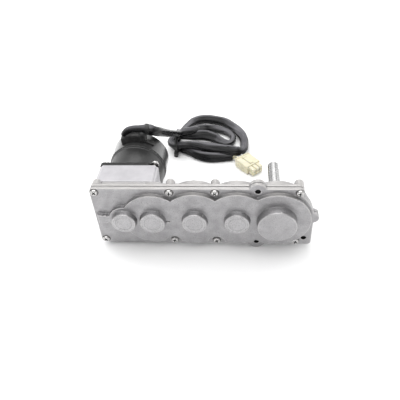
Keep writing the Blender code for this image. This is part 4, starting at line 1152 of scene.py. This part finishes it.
def mark_cover(mesh):
    """Shape the raised part, sink a faint disc in each small boss and one short nick, and add lumps."""
    for vertex in mesh.vertices:
        x, y, z = design_place(vertex)
        if y < FRONT_REGION[0] and abs(z) < FRONT_REGION[1]:
            z = slim_tongue(x, z)
            for screw_x in SCALLOP_SCREW_X:
                x, z = tight_scallop(x, z, screw_x)
            vertex.co.x = (x - ORIGIN.x) * MM
            vertex.co.z = (z - ORIGIN.z) * MM
        if y < FACE_BACK:
            y *= ease(x, *PLATEAU_END)
            for centre, front in zip(SHAFT_X, SMALL_BOSS_FRONTS):
                if y < front + DISC_REACH:
                    y += DISC_DEPTH * (1.0 - ease(math.hypot(x - centre, z), *DISC_RADII))
            if y > NICK_FRONT:
                beyond = max(abs(x - NICK_MIDDLE[0]) - NICK_HALF_LENGTH, 0.0)
                y += NICK_DEPTH * (1.0 - ease(math.hypot(beyond, z - NICK_MIDDLE[1]), *NICK_RADII))
        lump = sum(noise.noise(vertex.co * scale) * height for scale, height in COVER_LUMPS)
        vertex.co.y = (y + lump - ORIGIN.y) * MM


def round_corners(mesh, half_side, radius):
    """Turn the four long edges of the square block on the motor's axis into quarter rounds."""
    straight = half_side - radius
    for vertex in mesh.vertices:
        x, y, z = design_place(vertex)
        u = abs(x - SHAFT_X[0]) - straight
        v = abs(z) - straight
        if u > 0 and v > 0:
            pull = max(u, v) / math.hypot(u, v)
            x = SHAFT_X[0] + math.copysign(straight + u * pull, x - SHAFT_X[0])
            z = math.copysign(straight + v * pull, z)
            vertex.co = station(x, y, z)


def clip_corner(mesh, limit):
    """Bevel the corner of the motor's plate where the upper right screw sits."""
    for vertex in mesh.vertices:
        x, y, z = design_place(vertex)
        excess = (x - SHAFT_X[0]) + z - limit
        if excess > 0:
            vertex.co = station(x - excess / 2, y, z - excess / 2)


def make_castings():
    """The cover, the housing, the adapter and the mounting plate."""
    for name, node, voxel, rounds, finish, slot in CASTINGS:
        mesh = cast_mesh(node, voxel, rounds, blocks=MOTOR_PAD if node == "gearbox_housing" else ())
        if node == "gearbox_cover":
            true_up(mesh, COVER_ROUNDS)
            mark_cover(mesh)
        if node == "gearbox_housing":
            true_up(mesh, HOUSING_ROUNDS)
        if finish == "cast":
            mark_hole_shade_and_rubbing(mesh)
        if node == "motor_adapter":
            round_corners(mesh, ADAPTER_HALF_SIDE, ADAPTER_CORNER_RADIUS)
        if node == "motor_mount_plate":
            clip_corner(mesh, PLATE_CLIP)
        put(name, mesh, finish, replaces=(node,))


def make_shaft():
    """Output shaft as turned and milled, with its sharp edges broken."""
    mesh = bevelled(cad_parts["output_shaft"].data.copy(), 0.0003, angle_limit=math.radians(40))
    bm = bmesh.new()
    bm.from_mesh(mesh)
    bmesh.ops.dissolve_limit(bm, angle_limit=math.radians(1.0), verts=bm.verts, edges=bm.edges)
    bm.to_mesh(mesh)
    bm.free()
    reshade(mesh)
    put("output_shaft_turned", mesh, "shaft", body="output", replaces=("output_shaft",))


# outlines of the motor's turned pieces as (radius, y), and the fillet at each inner corner of an outline
FRONT_CASE_OUTLINE = [(6.5, 48.3), (28.3, 48.3), (29.3, 49.3), (29.3, 73.2), (29.75, 73.8), (29.75, 75.7),
                      (27.1, 75.7), (27.1, 52.3), (6.5, 52.3)]
FRONT_CASE_FILLETS = (0.8, 0.9, 0.3, 0.3, 0.25, 0.3, 1.0)
JOINT_RING_OUTLINE = [(28.6, 75.75), (30.0, 75.75), (30.3, 75.95), (30.3, 76.35), (30.0, 76.5), (28.6, 76.5)]
CAN_OUTLINE = [(30.6, 76.5), (30.6, 99.0), (29.6, 100.0), (24.6, 100.0), (24.0, 99.3), (13.0, 99.3),
               (12.4, 100.0), (0.0, 100.0)]
CAN_FILLETS = (1.6, 0.8, 0.4, 0.4, 0.4, 0.4)
CAN_INSIDE = [(0.0, 98.0), (6.5, 98.0), (6.5, 94.0), (8.4, 94.0), (8.4, 97.8), (27.8, 97.8), (27.8, 76.5)]
TURNED_SEGMENTS = 144


def make_turned(name, profile, finish, replaces=()):
    """One closed piece turned about the motor's axis."""
    bm = bmesh.new()
    add_revolved(bm, (SHAFT_X[0], 0.0), profile, TURNED_SEGMENTS, closed=True)
    put(name, as_mesh(bm, name), finish, replaces=replaces)


def make_motor():
    """Front case and can as thin turned shells with rolled edges, a joint ring and a pressed rear face."""
    front_case = softened(FRONT_CASE_OUTLINE, FRONT_CASE_FILLETS)
    can = softened(CAN_OUTLINE, CAN_FILLETS) + CAN_INSIDE
    make_turned("front_case_shell", front_case, "front_case", replaces=("motor_front_case",))
    make_turned("case_joint_ring", JOINT_RING_OUTLINE, "joint_ring")
    make_turned("motor_can_shell", can, "can", replaces=("motor_can",))


THREAD_PITCH = 0.7
THREAD_DEPTH = 0.28
HEAD_FILLETS = (0.3, 0.3, 0.35, 0.15)
CROSS_REACH = 0.62              # share of the head's radius
CROSS_HALF_WIDTHS = (0.66, 0.4)
CROSS_DEPTH = 1.8
RECESS_START = 0.12             # below the head's top
RECESS_MARGIN = 1.02
SCREW_SEGMENTS = 48
# radius and height of the head, radius of the shank, and length
COVER_SCREW = (3.6, 2.45, 2.0, 13.0)
MOTOR_SCREW = (4.4, 3.0, 1.5, 11.5)
DOMED_SCREW = (4.4, 4.6, 1.5, 11.5)
COVER_SEAT = 0.7                # y of the face that the heads lie on
MOTOR_SEAT = 48.6
SCREW_TURN = 0.83               # radians that each screw's cross is turned from the last one's


def screw_profile(head_radius, head_height, shank_radius, length):
    """Outline of a pan head and its threaded shank, as (radius, y) from the head's top."""
    head = [(0.0, -head_height), (head_radius * 0.55, -head_height),
            (head_radius * 0.84, -head_height * 0.84), (head_radius, -head_height * 0.42),
            (head_radius, 0.0), (shank_radius, 0.0)]
    thread = []
    for turn in range(int((length - 2.0) / THREAD_PITCH)):
        thread.append((shank_radius, 1.0 + turn * THREAD_PITCH))
        thread.append((shank_radius - THREAD_DEPTH, 1.0 + (turn + 0.5) * THREAD_PITCH))
    return softened(head, HEAD_FILLETS) + thread + [(shank_radius - 0.5, length), (0.0, length)]


def cross_cutter(head_height, reach):
    """Two crossed wedges, narrower at their foot, that cut the recess into a head."""
    cutter = bmesh.new()
    top, foot = CROSS_HALF_WIDTHS
    sections = ((-head_height - 0.4, reach, top), (-head_height + CROSS_DEPTH, reach * 0.4, foot))
    for turn in (0.0, math.pi / 2):
        along = Vector((math.cos(turn), 0.0, math.sin(turn)))
        across = Vector((-math.sin(turn), 0.0, math.cos(turn)))
        corners = []
        for depth, half_length, half_width in sections:
            for u, v in ((-1, -1), (1, -1), (1, 1), (-1, 1)):
                place = along * u * half_length + across * v * half_width + Y_AXIS * depth
                corners.append(cutter.verts.new(place * MM))
        for face in BOX_FACES:
            cutter.faces.new([corners[index] for index in face])
    return cutter


def screw_mesh(name, head_radius, head_height, shank_radius, length):
    """Pan-head screw with a cross recess, its seat at the local origin and its shank towards +Y."""
    bm = bmesh.new()
    profile = screw_profile(head_radius, head_height, shank_radius, length)
    add_revolved(bm, (0.0, 0.0), profile, SCREW_SEGMENTS)
    for vertex in bm.verts:
        vertex.co += ORIGIN * MM
    reach = head_radius * CROSS_REACH
    mesh = cut_out(as_mesh(bm, name), cross_cutter(head_height, reach), use_self=True)
    reshade(mesh)
    mesh.materials.append(FINISH["nickel"])
    # second material: painted shade in the cross recess
    mesh.materials.append(FINISH["recess"])
    recess_top = (-head_height + RECESS_START) * MM
    for face in mesh.polygons:
        inside = math.hypot(face.center.x, face.center.z) < reach * RECESS_MARGIN * MM
        face.material_index = 1 if inside and recess_top < face.center.y < 0.0 else 0
    return mesh


def make_screws():
    """Eight cover screws, and four motor screws of which the first has a taller domed head."""
    cover_screw = screw_mesh("cover_screw_shape", *COVER_SCREW)
    motor_screw = screw_mesh("motor_screw_shape", *MOTOR_SCREW)
    domed_screw = screw_mesh("motor_domed_screw_shape", *DOMED_SCREW)
    groups = (("cover", [cover_screw] * 8, COVER_SEAT, 0.0),
              ("motor", [domed_screw] + [motor_screw] * 3, MOTOR_SEAT, math.pi))
    for group, meshes, seat, turned in groups:
        for number, mesh in enumerate(meshes, start=1):
            node = f"{group}_screw_{number}"
            low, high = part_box(node)
            middle = (low + high) / 2
            screw = placed(f"{group}_pan_screw_{number}", mesh)
            screw.rotation_euler = (0.0, number * SCREW_TURN, turned)
            screw.location = (middle.x, station(0.0, seat, 0.0).y, middle.z)
            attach(screw, "case")
            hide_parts(node)


finish_carried_nodes()
make_castings()
make_shaft()
make_motor()
make_screws()
